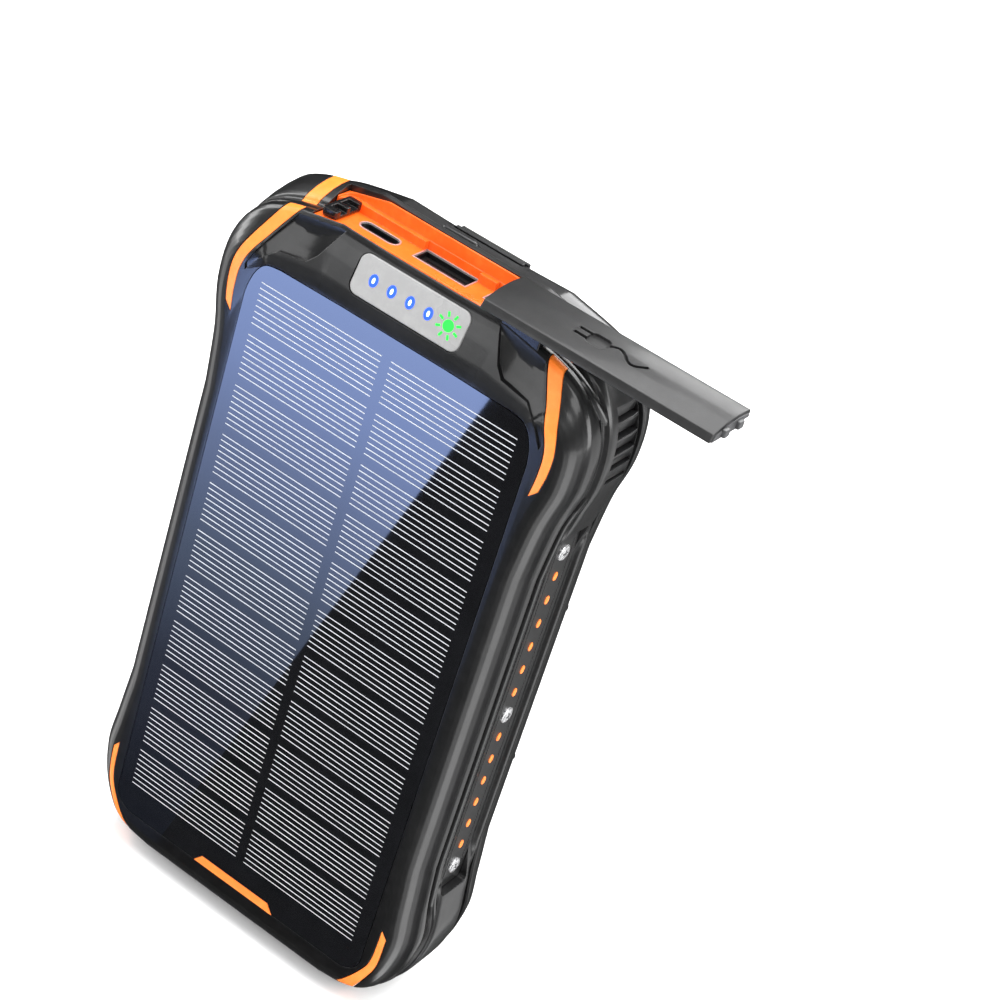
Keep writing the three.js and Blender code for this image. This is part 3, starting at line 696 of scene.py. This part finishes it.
def make_solar_face():
    """One glossy slab with printed contact fingers in two columns."""
    face = prism("solar_face", glass_outline(), FRONT_Y, FRONT_Y + 2.2)
    badge = [(10.9, glass_low.z - 1), (10.6, glass_low.z), (8.95, glass_low.z + 1.95)]
    cut(face, prism("badge_cut", mirrored([(x + 0.12, z + 0.12) for x, z in badge]), FRONT_Y - 1, 0))
    dress(face, CELL, "solar_cell", "solar_glass", "solar_cells")
    badge[0] = (10.8, glass_low.z - 0.2)
    plate = prism("foot_badge_fine", mirrored(badge), FRONT_Y - 0.02, FRONT_Y + 2.0)
    dress(soften(plate, 0.15, 2), ORANGE, "orange_plastic", "foot_badge")
    verts, faces = [], []
    for group in range(CELLS["groups"]):
        for finger in range(CELLS["fingers"]):
            z = CELLS["top"] - group * CELLS["group_pitch"] - finger * CELLS["finger_pitch"]
            for x0, x1 in CELLS["columns"]:
                faces += [tuple(len(verts) + corner for corner in face) for face in BOX_FACES]
                bottom, top = z - CELLS["thick"] / 2, z + CELLS["thick"] / 2
                for y in (FRONT_Y - 0.012, FRONT_Y + 0.2):
                    verts += [(x0, y, bottom), (x1, y, bottom), (x1, y, top), (x0, y, top)]
    dress(make_object("contact_fingers", verts, faces), FINGER, "solar_cell")


# ---- middle frame
RIBS = 5
RIB_HALF = 3.7                         # half length of a finger rib


def rib_cuts(side):
    """Finger steps round each shoulder: sloping cuts, deepest at their lower edge."""
    tools = []
    for k in range(RIBS):
        z = 133.6 + 3.2 * k
        reach = 43.95 - 0.13 * k * k
        lean = 0.1 * k - 0.1
        step = prism("rib", rectangle(0, 0.125, RIB_HALF, 0.225), -1.15, 1.5)
        slope = [(-1.15, 0.3), (-0.55, 0.3), (0.05, 2.75), (2.2, 2.75), (2.2, -0.1), (-1.15, -0.1)]
        wedge = prism("slope", slope, -RIB_HALF, RIB_HALF, axis="X")
        boolean(step, "UNION", wedge)
        placed(step, (side * reach, 1.4, z), (side, 0, lean))
        tools.append(step)
    return tools


def band_slab(side, grow):
    """A slanting slab that marks off the orange band over the crown, above the shoulder."""
    x0, x1 = 28.6 - grow, 31.9 + grow
    outline = [(x0, -9), (x1, -9), (x1 - 1.5, 9), (x0 - 1.5, 9)]
    return upright("band", outline if side > 0 else flipped(outline), 151, ABOVE)


CROWN_NORMAL = Vector((0, 0.6585, 0.7526))    # of the crown's rear slope


def on_crown(piece):
    """Places a piece made round the origin (+Y outwards) on the crown's rear slope."""
    low, high = cad_box("power_button")
    return placed(piece, (low + high) / 2, CROWN_NORMAL)


def button_outline(grow=0.0):
    return rounded(-4.2 - grow, 4.2 + grow, -1.75 - grow, 1.75 + grow, 1.0 + grow, 6)


def make_middle():
    """The frame between the shells, open for the bay, the button and the side strips."""
    body = frame_solid("middle_ring")
    hollow = prism("hollow", rounded(-35.5, 35.5, 5.5, 149.5, 8), -8, 8)
    tools = [hollow, *rib_cuts(1), *rib_cuts(-1)]
    for side in (1, -1):
        pocket = rounded(-4.5, 4.5, strip_low.z - 0.2, strip_high.z + 0.2, 1.2, 6)
        ends = sorted((side * (strip_low.x - 0.3), side * 46))
        tools.append(prism("strip_cut", pocket, *ends, axis="X"))
        core = frame_solid("core", 1.0)
        tools.append(cut(band_slab(side, GAP), core))
    tools.append(block("bay_cut", (bay["x0"] - GAP, -BEHIND, bay["z0"]),
                       (bay["x1"] + GAP, bay["y1"] + GAP, ABOVE)))
    tools.append(on_crown(prism("button_cut", button_outline(0.22), -1.9, 4)))
    cut(body, *tools)
    dress(body, MIDDLE, "frame_plastic", "middle_frame")


def make_band(name, side, *nodes):
    """The orange band over the crown, let into the frame."""
    piece = band_slab(side, 0)
    piece.name = name
    boolean(piece, "INTERSECT", frame_solid("limit", -0.03))
    cut(piece, frame_solid("core", 0.95))
    dress(piece, ORANGE, "orange_plastic", *nodes)


def make_button():
    cap = on_crown(prism("power_button_fine", button_outline(), -0.75, 0.75))
    dress(soften(cap, 0.45, 4), MIDDLE, "frame_plastic", "power_button", body="power_button")
    top = 0.78
    signs = {
        "power_ring": bar_outline(arc(0, 0, 1.05, 125, 415, 24), 0.26),
        "power_stroke": bar_outline([(0, 0.35), (0, 1.4)], 0.26),
    }
    for name, outline in signs.items():
        dress(on_crown(prism(name, outline, top - 0.2, top)), DARK, "frame_plastic", body="power_button")


# ---- side strips
DOTS = dict(top=115.0, pitch=5.63, count=15, screw_every=7)


def make_side(side, tag):
    """A gloss strip with twelve orange light dots and three cross-head screws."""
    low, high = cad_box(f"side_strip_{tag}")
    inner, outer = (low.x, high.x) if side > 0 else (high.x, low.x)
    strip = prism(f"side_strip_fine_{tag}", rounded(-4.35, 4.35, low.z, high.z, 1.1, 6),
                  min(inner, outer), max(inner, outer), axis="X")
    soften(strip, 0.3, 3)
    groove = [prism("edge_groove", rounded(y - 0.12, y + 0.12, low.z + 3, high.z - 3, 0.1, 3),
                    *sorted((outer - side * 0.25, outer + side)), axis="X") for y in (-2.9, 2.9)]
    cut(strip, *groove)
    dress(strip, MIDDLE, "dark_plastic", f"side_strip_{tag}")
    for k in range(DOTS["count"]):
        z = DOTS["top"] - DOTS["pitch"] * k
        if k % DOTS["screw_every"] == 0:
            number = k // DOTS["screw_every"] + 1
            screw = cross_screw(f"side_screw_fine_{tag}_{number}", 1.75, 0.55, k * 0.7)
            placed(screw, (outer + side * 0.05, 0, z), (side, 0, 0))
            dress(screw, SCREW_STEEL, "bright_steel", f"side_screw_{tag}_{number}")
            continue
        dot = prism(f"light_dot_{tag}_{k:02d}", ellipse(0, 0, 0.68, 1.0), -0.3, 0.22)
        placed(soften(dot, 0.18, 3), (outer, 0, z), (side, 0, 0))
        dress(dot, ORANGE, "orange_plastic", *((f"light_bar_{tag}",) if k == 1 else ()))


def cross_screw(name, radius, height, turn=0.3):
    """A domed screw head with a tapered cross recess, pointing along +Y."""
    head = revolve(name, [(0, -0.6), (radius, -0.6), (radius, height * 0.35),
                          (radius * 0.93, height * 0.62), (radius * 0.7, height * 0.9),
                          (radius * 0.35, height), (0, height)])
    wings = []
    for quarter in (0.0, math.pi / 2):
        long, wide = radius * 0.62, radius * 0.15
        wing = prism("wing", [(-long, -wide), (long, -wide), (long * 0.8, 0), (long, wide), (-long, wide),
                              (-long * 0.8, 0)], height - 0.75, height + 1)
        wings.append(turned(wing, Matrix.Rotation(turn + quarter, 4, "Y")))
    return cut(head, *wings)


# ---- rear shell


def well_outline():
    return mirrored([(31.9, 15.2), (32.5, 115), (32.5, 138), (31.2, 141.4), (27.2, 145.9)])


def window_outline(grow=0.0):
    return mirrored([
        (16.1 + grow, 111.5 - grow), (20.5 + grow, 115.4 - grow), (32.3 + grow, 115.4 - grow),
        (32.3 + grow, 137.6 + grow * 0.4), (31.0 + grow * 0.8, 141.0 + grow * 0.7),
        (27.1 + grow * 0.4, 145.6 + grow),
    ])


def leather_outline(grow=0.0):
    return mirrored([
        (31.5 + grow, 15.5 - grow), (31.5 + grow, 115.2 + grow), (20.7 - grow * 0.4, 115.2 + grow),
        (19.3, 114.4 + grow), (17.4, 111.9 + grow), (16.2 - grow * 0.4, 111.2 + grow),
        (14.6 - grow, 111.2 + grow), (11.4 - grow, 108 + grow),
    ])


def foot_panel_outline(grow=0.0):
    return mirrored([(23.2 + grow, 3.4 - grow), (24.6 + grow, 4.2 - grow), (31.6 + grow, 14.7 + grow * 0.5)])


WING_SCREWS = ((38.1, 132.9), (37.8, 95.9), (37.8, 58.0), (37.6, 20.5), (30.6, 6.6), (19.6, 151.6))


def facet_cut(side):
    """Shaves the flat beside the top recess down towards the window, from a crease that runs
    from the bar's upper edge to the window's corner."""
    crease, reach, fall = ((15.4, 157.6), (30.2, 144.0)), 11.0, 1.7
    run = (Vector(crease[1]) - Vector(crease[0])).normalized()
    inward = Vector((run.y, -run.x))
    section = [(0, 0), (reach, -fall), (reach, 4), (0, 4)]
    length = (Vector(crease[1]) - Vector(crease[0])).length
    verts = []
    for along in (0.0, length):
        for out, rise in section:
            point = Vector(crease[0]) + run * along + inward * out
            verts.append((side * point.x, rear_high.y - 0.02 + rise, point.y))
    return make_solid("facet", verts, BOX_FACES)


def make_rear():
    """The rear shell with its foot panel and its screws."""
    body = skin("rear_case", between(REAR_FACE, 3), shift=rear_shift)
    tools = [
        prism("hollow", rounded(-35.5, 35.5, 6, 149, 8), 0, 10.3),
        prism("well", well_outline(), 12.7, BEHIND),
        prism("leather_cut", leather_outline(GAP), 11.3, BEHIND),
        prism("window_cut", window_outline(), 8, BEHIND),
        prism("recess", mirrored([(12.5, 144), (13, 147), (17, 162)]), 12.4, BEHIND),
        prism("panel_cut", foot_panel_outline(GAP), 12.2, BEHIND),
        prism("slot", rounded(-6.2, 6.2, 149.2, 151.2, 0.5, 4), 11.2, BEHIND),
        block("notch", (-8.2, 10.9, 153.3), (8.2, BEHIND, ABOVE)),
    ]
    for side in (1, -1):
        tools.append(facet_cut(side))
        for x, z in WING_SCREWS:
            tools.append(prism("seat", ellipse(side * x, z, 1.9, 1.9, 32), 11.6, BEHIND))
    cut(body, *tools)
    dress(body, SHELL, "shell_plastic", "rear_shell")
    panel = prism("foot_panel_fine", foot_panel_outline(), 12.3, 13.3)
    dress(soften(panel, 0.3, 3), MIDDLE, "frame_plastic", "foot_panel")
    for side, tag in SIDES:
        for k, (x, z) in enumerate(WING_SCREWS):
            screw = cross_screw(f"rear_screw_fine_{tag}_{k + 1}", 1.45, 0.6, 0.3 + k)
            placed(screw, (side * x, 12.35, z), (0, 1, 0))
            dress(screw, DARK_STEEL, "dark_steel", f"rear_screw_{tag}_{k + 1}")


STITCH = dict(x=30.2, first=18.0, last=112, length=2.0, pitch=2.7, width=0.42)


def make_leather():
    y0, y1 = leather_low.y, leather_high.y
    panel = prism("leather_fine", leather_outline(), y0, y1)
    dress(soften(panel, 0.3, 3), LEATHER, "leather", "leather_panel")
    count = 0
    for side, tag in SIDES:
        z = STITCH["first"]
        while z < STITCH["last"]:
            x = side * STITCH["x"]
            seam = bar_outline([(x, z), (x, z + STITCH["length"])], STITCH["width"])
            piece = prism(f"stitch_{tag[0]}_{count:03d}", seam, y1 - 0.2, y1 + 0.1)
            dress(soften(piece, 0.12, 2), THREAD, "leather")
            count += 1
            z += STITCH["pitch"]


def make_lamp():
    """The milky lens of the lamp, which fills the rear window."""
    lamp = prism("lamp_lens", window_outline(-0.12), 9.4, 12.45)
    dress(soften(lamp, 0.25, 3), LAMP, "lamp_plastic", "lamp_diffuser")


COIN_SCREW = dict(x=23.3, z=111.1)


def make_strap_plate():
    """The metal plate across the leather, with a slotted screw in each ear."""
    x, z, ear_radius = COIN_SCREW["x"], COIN_SCREW["z"], 4.0
    ear = arc(x, z, ear_radius, -50, 125, 20)
    half = [(12.5, 99), (19.3, 105.6), *ear, (14.4, 105.4), (7.6, 105.4), (5.2, 107.4)]
    plate = prism("strap_plate_fine", mirrored(half), 12.5, 13.1)
    dress(soften(plate, 0.15, 2), STEEL, "bright_steel", "strap_plate")
    for side, tag in SIDES:
        head = revolve(f"coin_screw_fine_{tag}", [
            (0, -0.3), (3.75, -0.3), (3.75, 0.35), (3.6, 0.55), (3.3, 0.62), (0, 0.66)], 56)
        slot = prism("slot", [(-3.6, -0.42), (3.6, -0.42), (3.6, 0.42), (-3.6, 0.42)], 0.2, 2)
        turned(slot, Matrix.Rotation(0.55, 4, "Y"))
        cut(head, slot)
        placed(head, (side * x, 13.35, z), (0, 1, 0))
        dress(head, STEEL, "bright_steel", f"coin_screw_{tag}")


def make_pad():
    """The charging pad: a raised rubber field with two fans of wave marks."""
    z0, z1, half = pad_low.z, pad_high.z, pad_high.x
    base = prism("pad_fine", rounded(-half, half, z0, z1, 10.5, 16), leather_high.y - 0.1, 13.3)
    soften(base, 0.55, 2)
    plateau = prism("pad_plateau", rounded(-half + 2.3, half - 2.3, z0 + 2.3, z1 - 2.3, 8.6, 16), 12.8, 13.6)
    soften(plateau, 0.25, 3)
    centre = (z0 + z1) / 2 - 0.4
    tools = []
    for radius in (3.3, 6.5, 10.0):
        for middle in (90, -90):
            fan = bar_outline(arc(0, centre, radius, middle - 45, middle + 45, 20), 0.95)
            tools.append(prism("arc_cut", fan, 13.25, 20))
    cut(plateau, *tools)
    dress(base, PAD, "pad_rubber", "wireless_pad")
    dress(plateau, PAD, "pad_rubber")


def make_hook():
    """The strap hook in the top bar's notch: a ledge with a lip turned outwards."""
    profile = [(11.2, 153.5), (14.5, 153.5), (14.6, 153.7), (14.6, 156.0), (14.4, 156.2), (13.8, 156.2),
               (13.7, 156.0), (13.7, 154.9), (12.2, 154.9), (12.2, 157.0), (11.2, 157.0)]
    hook = prism("strap_hook_fine", profile, -8, 8, axis="X")
    dress(soften(hook, 0.2, 3, 30), MIDDLE, "frame_plastic", "strap_hook")


# ---- port bay
BAY_FLOOR = 155.5
SOCKETS_A = (-0.35, 16.1)              # middles of the two USB-A sockets
SOCKET_Y = -1.7
USB_C = dict(x=-14.9, y=-3.0)
RIM_LOW, RIM_HIGH = BAY_FLOOR - 0.3, BAY_FLOOR + 0.08


def make_bay():
    """The orange tray with its sockets. The front wall is low and the rear wall climbs."""
    front_roof = mirrored([(bay["x1"], bay["z0"]), (bay["x1"], 155.35), (19, 156.75)])
    back_roof = mirrored([(bay["x1"], bay["z0"]), (bay["x1"], 157.6), (17, 159.9)])
    tray = prism("bay_tray", back_roof, -2.4, bay["y1"])
    front = prism("front_part", front_roof, bay["y0"], -2.2)
    boolean(tray, "UNION", front)
    x0, x1, y0, y1 = (bay[side] for side in ("x0", "x1", "y0", "y1"))
    floor = rounded(x0 + 0.5, x1 - 0.5, y0 + 0.5, y1 - 1.5, 2.6, 8)
    ledge = rounded(x0 + 0.4, x1 - 0.4, y0 + 0.4, y1 - 0.35, 2.2, 8)
    tools = [upright("floor_cut", floor, BAY_FLOOR, ABOVE), upright("ledge_cut", ledge, 157.3, ABOVE)]
    for mouth in (*[usb_a(x, 6.25, 2.5) for x in SOCKETS_A], usb_c(4.6, 1.7, 1.7)):
        tools.append(upright("socket", mouth, 150, ABOVE))
    cut(tray, *tools)
    dress(tray, BAY_ORANGE, "orange_plastic", "bay_liner")
    make_sockets()
    make_stem_guide()


def make_stem_guide():
    """The dark block at the bay's right end that the cover's stem slides through."""
    stem = (stem_low + stem_high) / 2
    guide = block("stem_guide", (stem.x - 1.9, bay["y0"] - 0.6, BAY_FLOOR - 3),
                  (bay["x1"] + 0.2, -4.4, 157.5))
    hole = upright("hole", ellipse(stem.x, stem.y, 1.4, 1.4, 32), 140, 160)
    dress(soften(cut(guide, hole), 0.3, 3), DARK, "dark_plastic")


def usb_a(x, half_x, half_y):
    return rectangle(x, SOCKET_Y, half_x, half_y)


def usb_c(half_x, half_y, radius):
    x, y = USB_C["x"], USB_C["y"]
    return rounded(x - half_x, x + half_x, y - half_y, y + half_y, radius, 8)


def make_collar(name, outer, inner, low, high, mouth_bottom, *look):
    """A wall between two outlines in plan, closed below the bottom of its mouth."""
    collar = upright(name, outer, low, high)
    cut(collar, upright("mouth", inner, mouth_bottom, ABOVE))
    dress(collar, *look)


def make_sockets():
    """Each socket has a metal shell painted near black as painted shade, so that its inside reads dark, a
    tongue and a bright steel rim.
    """
    for k, x in enumerate(SOCKETS_A):
        # The shell takes the material painted near black as painted shade; the rim above it is plain bright
        # steel.
        make_collar(f"usb_a_fine_{k + 1}", usb_a(x, 6.2, 2.45), usb_a(x, 5.8, 2.1), 143, RIM_LOW, 144,
                    SOCKET_PAINTED_SHADE, "dark_steel", f"usb_a_port_{k + 1}")
        tongue = block(f"usb_a_tongue_{k + 1}", (x - 5.0, SOCKET_Y + 0.1, 143.5),
                       (x + 5.0, SOCKET_Y + 1.4, BAY_FLOOR - 1.2))
        dress(soften(tongue, 0.25, 2), DARK, "dark_plastic")
        make_collar(f"usb_a_rim_{k + 1}", usb_a(x, 6.25, 2.5), usb_a(x, 5.95, 2.2), RIM_LOW, RIM_HIGH, 150,
                    STEEL, "bright_steel")
    make_collar("usb_c_rim", usb_c(4.6, 1.7, 1.65), usb_c(4.3, 1.4, 1.35), RIM_LOW, RIM_HIGH, 150,
                STEEL, "bright_steel")
    # The USB-C shell is painted near black as painted shade too.
    make_collar("usb_c_fine", usb_c(4.5, 1.6, 1.55), usb_c(4.2, 1.3, 1.25), 147, RIM_LOW, 148,
                SOCKET_PAINTED_SHADE, "dark_steel", "usb_c_port")
    x, y = USB_C["x"], USB_C["y"]
    tongue = block("usb_c_tongue", (x - 3.3, y - 0.35, 147.5), (x + 3.3, y + 0.35, BAY_FLOOR - 1.0))
    dress(soften(tongue, 0.15, 2), DARK, "dark_plastic")


def make_latch():
    """The catch at the bay's left end: a bracket with two fingers and a slot between them."""
    low, high = cad_box("latch_bracket")
    base = upright("latch_fine", rounded(low.x, high.x, low.y, high.y, 0.6, 4), low.z, high.z)
    cut(base,
        block("gap", (low.x + 0.9, low.y + 1.6, low.z + 0.6), (high.x + 1, low.y + 3.6, ABOVE)),
        block("gap", (low.x + 0.9, low.y + 4.6, low.z + 0.6), (high.x + 1, high.y - 1.4, ABOVE)))
    dress(soften(base, 0.15, 2), DARK, "dark_plastic", "latch_bracket")


# ---- port cover
# The crest line lies behind the middle; the rear edge is stepped up beyond "step".
COVER = dict(half=(cover_high.y - cover_low.y) / 2, middle=(cover_high.y + cover_low.y) / 2,
             height=cover_high.z - cover_low.z, crest=2.5, bow=0.0185, ridge=0.9, step=4.3, step_rise=1.15)


def cover_profile(shrink=0.0):
    """A thin, slightly bowed lid with a sloping front edge, as (y, z) about the cover's middle.
    The rear edge is cut short, to clear the crown."""
    half, height = COVER["half"] - shrink, COVER["height"] - shrink
    bowed = spaced(-half + COVER["ridge"], half - 0.3, 17)
    top = [(y, height - COVER["bow"] * (y - COVER["crest"]) ** 2) for y in bowed]
    rear = [(half, top[-1][1] - 0.35), (half, COVER["step_rise"])]
    foot = [(COVER["step"], COVER["step_rise"]), (COVER["step"], 0)]
    return [(-half, 0)] + top + rear + foot


def make_cover():
    middle, low = COVER["middle"], cover_low.z
    left, right = cover_low.x, cover_high.x - 1.0
    section = [(middle + y, low + z) for y, z in cover_profile()]
    shell = prism("cover_fine", section, left, right, axis="X")
    soften(shell, 0.2, 3, 35)
    cut(shell,
        block("hollow", (left + 9, middle - 5.5, low - 1), (right - 1.2, middle + 3.3, low + 1.2)),
        *port_symbol(middle))
    dress(shell, COVER_GREY, "shell_plastic", "port_cover", body="port_cover")
    end_face = [(middle + y, low + z) for y, z in cover_profile(0.6)]
    end = prism("cover_end", end_face, right - 0.3, right + 0.25, axis="X")
    dress(soften(end, 0.15, 2), LIP_GREY, "shell_plastic", body="port_cover")
    for tag, y in (("a", middle - 3.4), ("b", middle + 1.6)):
        tab = block(f"cover_tab_{tag}", (right, y, low + 0.3), (right + 1.0, y + 1.8, low + 1.9))
        dress(soften(tab, 0.25, 3), LIP_GREY, "shell_plastic", body="port_cover")


def port_symbol(middle):
    """A plain plug-and-lead sign, sunk in the cover: a plug body, two pins and a wavy lead."""
    lead = [(1.6 - k * 0.5, 1.2 * math.sin(k * 0.4)) for k in range(18)]
    shapes = [
        rounded(1.4, 5.6, -1.9, 1.9, 1.0, 5),
        bar_outline([(5.5, -0.95), (8.2, -0.95)], 0.75),
        bar_outline([(5.5, 0.95), (8.2, 0.95)], 0.75),
        bar_outline(lead, 0.7),
    ]
    centre = (39.5, middle - 0.2, cover_low.z + COVER["height"] - 0.15)
    return [placed(prism("sign", shape, -0.6, 2), centre, (0, -0.1, 1), (0, 1, 0.1)) for shape in shapes]


# ---- assembly
make_bezel()
for kind, ribbon in (("shoulder", shoulder_stripe()), ("foot", foot_stripe())):
    make_stripe(f"{kind}_stripe_fine_right", ribbon, f"{kind}_stripe_right")
    make_stripe(f"{kind}_stripe_fine_left", flipped(ribbon), f"{kind}_stripe_left")
make_indicator()
make_solar_face()
make_middle()
for side, tag in SIDES:
    make_band(f"crown_band_fine_{tag}", side, f"crown_band_{tag}")
make_button()
for side, tag in SIDES:
    make_side(side, tag)
make_rear()
make_leather()
make_lamp()
make_strap_plate()
make_pad()
make_hook()
make_bay()
make_latch()
make_cover()

# The hidden pieces keep their CAD shape and only get a material.
COPPER = brushed_metal("copper_wire", (0.8, 0.36, 0.16), 0.3)
BOARD = plastic("board_green", (0.02, 0.12, 0.05), (0.03, 0.2, 0.08), 0.35)
FOIL = brushed_metal("foil", (0.6, 0.62, 0.65), 0.35)
for material, nodes in (
    (DARK, ("cover_stem", "button_switch", "coil_shield")),
    (COPPER, ("charging_coil",)),
    (BOARD, ("main_board", "lamp_board", "indicator_board")),
    (FOIL, ("battery_left", "battery_right")),
):
    for node in nodes:
        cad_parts[node].data.materials.clear()
        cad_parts[node].data.materials.append(material)

# ---- floor, light and camera
CAMERA = dict(aim=Vector((21.1, 6.1, 113.2)), distance=500.0, azimuth=25.19, elevation=31.49,
              roll=18.34, lens=94.4)


def camera_back():
    turn, rise = math.radians(CAMERA["azimuth"]), math.radians(CAMERA["elevation"])
    return Vector((math.sin(turn) * math.cos(rise), -math.cos(turn) * math.cos(rise), math.sin(rise)))


def make_camera():
    data = bpy.data.cameras.new("camera")
    data.lens = CAMERA["lens"]
    data.sensor_width = 36.0
    data.clip_start = 0.01
    camera = bpy.data.objects.new("camera", data)
    bpy.context.scene.collection.objects.link(camera)
    back = camera_back()
    camera.location = (CAMERA["aim"] + back * CAMERA["distance"]) * MM
    camera.rotation_mode = "QUATERNION"
    level = (-back).to_track_quat("-Z", "Y")
    camera.rotation_quaternion = level @ Quaternion((0, 0, 1), math.radians(CAMERA["roll"]))
    bpy.context.scene.camera = camera
    return camera


def softbox(name, place, target, width, height, power):
    data = bpy.data.lights.new(name, "AREA")
    data.shape = "RECTANGLE"
    data.size, data.size_y = width, height
    data.energy = power
    lamp = bpy.data.objects.new(name, data)
    bpy.context.scene.collection.objects.link(lamp)
    lamp.location = place
    lamp.rotation_mode = "QUATERNION"
    lamp.rotation_quaternion = (Vector(target) - Vector(place)).to_track_quat("-Z", "Y")
    return lamp


STUDIO_FLOOR, CARD_Z = -1.1, -0.7       # heights of the floor and of the panels lying on it
FLOOR_REACH, CARD_REACH = 4000, 2500


def make_floor():
    corners = [(x, y, STUDIO_FLOOR) for x, y in rectangle(0, 0, FLOOR_REACH, FLOOR_REACH)]
    floor = make_object("floor", corners, [(0, 1, 2, 3)])
    nodes = Nodes("studio_floor")
    nodes.set(Base_Color=nodes.mix(nodes.noise(60.0), (0.93, 0.93, 0.93), (0.95, 0.95, 0.95)), Roughness=0.9)
    nodes.shader.inputs["Specular IOR Level"].default_value = 0.0
    floor.data.materials.append(nodes.material)
    floor.visible_glossy = False


def emit(nodes, colour, strength):
    """Makes a material glow, with no shading of its own."""
    emission = nodes.add("ShaderNodeEmission", Color=colour, Strength=strength)
    output = nodes.tree.nodes["Material Output"]
    nodes.tree.links.new(emission.outputs["Emission"], output.inputs["Surface"])


def glossy_card(name, corners, strength):
    """A flat white glowing panel that shows only in reflections."""
    card = make_object(name, corners, [tuple(range(len(corners)))])
    nodes = Nodes(name + "_glow")
    emit(nodes, nodes.mix(nodes.noise(60.0), (0.9, 0.9, 0.9), (1, 1, 1)), strength)
    card.data.materials.append(nodes.material)
    hide_but_glossy(card)


def hide_but_glossy(panel):
    panel.visible_camera = False
    panel.visible_diffuse = False
    panel.visible_shadow = False


def make_floor_cards():
    """What the upright faces mirror: a dim floor all round and brighter fans to both sides."""
    ground = rectangle(0, 0, CARD_REACH, CARD_REACH)
    glossy_card("floor_dim", [(x, y, CARD_Z - 0.3) for x, y in ground], 0.07)
    fans = {
        "fan_right_wide": ((38, -10), (0.60, -0.80), (0.99, -0.10), 1.1),
        "fan_right": ((38, -10), (0.74, -0.67), (0.95, -0.31), 3.6),
        "fan_left": ((-38, -10), (-0.99, 0.12), (-0.93, -0.36), 1.5),
        "fan_behind": ((42, 4), (0.9, 0.44), (0.45, 0.89), 1.1),
    }
    for name, (tip, first, second, strength) in fans.items():
        level = CARD_Z - 0.2 + 0.02 * strength
        corners = [(*tip, level)]
        for out in (first, second):
            corners.append((tip[0] + out[0] * CARD_REACH, tip[1] + out[1] * CARD_REACH, level))
        glossy_card(name, corners, strength)


SKY_GLOW = 21.0


def make_sky_card(camera):
    """Two panels lying on the floor before the product, seen only in reflections. Their
    mirror images fill the solar glass: a graded blue one and a black one that meet along a
    straight slanted edge. Corners are laid out on the glass (x, z) and carried to the floor
    from the camera's mirror image."""
    eye = camera.location / MM
    mirror_eye = Vector((eye.x, 2 * FRONT_Y - eye.y, eye.z))

    def on_floor(x, z):
        point = Vector((x, FRONT_Y, z))
        throw = (mirror_eye.z - CARD_Z) / (mirror_eye.z - z)
        return mirror_eye + (point - mirror_eye) * throw

    edge_top, edge_foot = (24.0, 149.5), (-21.5, 3.0)
    blue = [on_floor(-37, 149.5), on_floor(*edge_top), on_floor(*edge_foot), on_floor(-37, 3)]
    black = [on_floor(*edge_top), on_floor(37, 149.5), on_floor(37, 3), on_floor(*edge_foot)]
    dark = make_object("dark_card", black, [(0, 1, 2, 3)])
    dark_nodes = Nodes("card_black")
    shade = dark_nodes.mix(dark_nodes.noise(40.0), (0.002, 0.002, 0.002), (0.004, 0.004, 0.004))
    dark_nodes.set(Base_Color=shade, Roughness=1.0)
    dark_nodes.shader.inputs["Specular IOR Level"].default_value = 0.0
    dark.data.materials.append(dark_nodes.material)
    card = make_object("sky_card", blue, [(0, 1, 2, 3)])
    nodes = Nodes("sky_glow")
    split = nodes.add("ShaderNodeSeparateXYZ", Vector=nodes.coordinates)
    near, far = blue[3].y * MM, blue[0].y * MM
    rise = nodes.ramp(split.outputs["Y"], near, far, 0.0, 1.0)
    ramp = nodes.tree.nodes.new("ShaderNodeValToRGB")
    nodes.tree.links.new(rise, ramp.inputs["Fac"])
    steps = ((0.05, (0.002, 0.003, 0.006)), (0.22, (0.015, 0.019, 0.033)), (0.40, (0.06, 0.08, 0.13)),
             (0.58, (0.12, 0.16, 0.29)), (0.76, (0.19, 0.26, 0.50)), (1.0, (0.24, 0.33, 0.63)))
    while len(ramp.color_ramp.elements) < len(steps):
        ramp.color_ramp.elements.new(0.5)
    for element, (place, colour) in zip(ramp.color_ramp.elements, steps):
        element.position = place
        element.color = (*colour, 1)
    emit(nodes, ramp.outputs["Color"], SKY_GLOW)
    card.data.materials.append(nodes.material)
    hide_but_glossy(dark)
    hide_but_glossy(card)


def make_world():
    world = bpy.data.worlds.new("studio")
    bpy.context.scene.world = world
    world.use_nodes = True
    background = world.node_tree.nodes["Background"]
    background.inputs["Color"].default_value = (1, 1, 1, 1)
    background.inputs["Strength"].default_value = 1.0
    world.cycles_visibility.glossy = False


bpy.context.scene.view_settings.view_transform = "Standard"
camera = make_camera()
make_world()
make_floor()
make_floor_cards()
make_sky_card(camera)
softbox("front_low_box", (-0.45, -1.05, 0.42), (0, 0, 0.15), 0.7, 0.35, 2.2)
softbox("crown_box", (-0.42, -0.08, 1.1), (0, 0, 0.15), 0.7, 0.5, 3.0)
softbox("top_box", (0.1, 0.2, 1.1), (0, 0, 0.1), 1.2, 0.8, 14)
softbox("right_box", (1.1, 0.1, 0.5), (0, 0, 0.09), 0.5, 1.2, 12)
softbox("left_box", (-1.0, -0.15, 0.45), (0, 0, 0.09), 0.3, 1.2, 8)
softbox("back_box", (0.0, 1.2, 0.8), (0, 0, 0.1), 0.9, 0.5, 9)
softbox("front_box", (0.5, -1.0, 0.9), (0, 0, 0.08), 0.5, 0.5, 4)
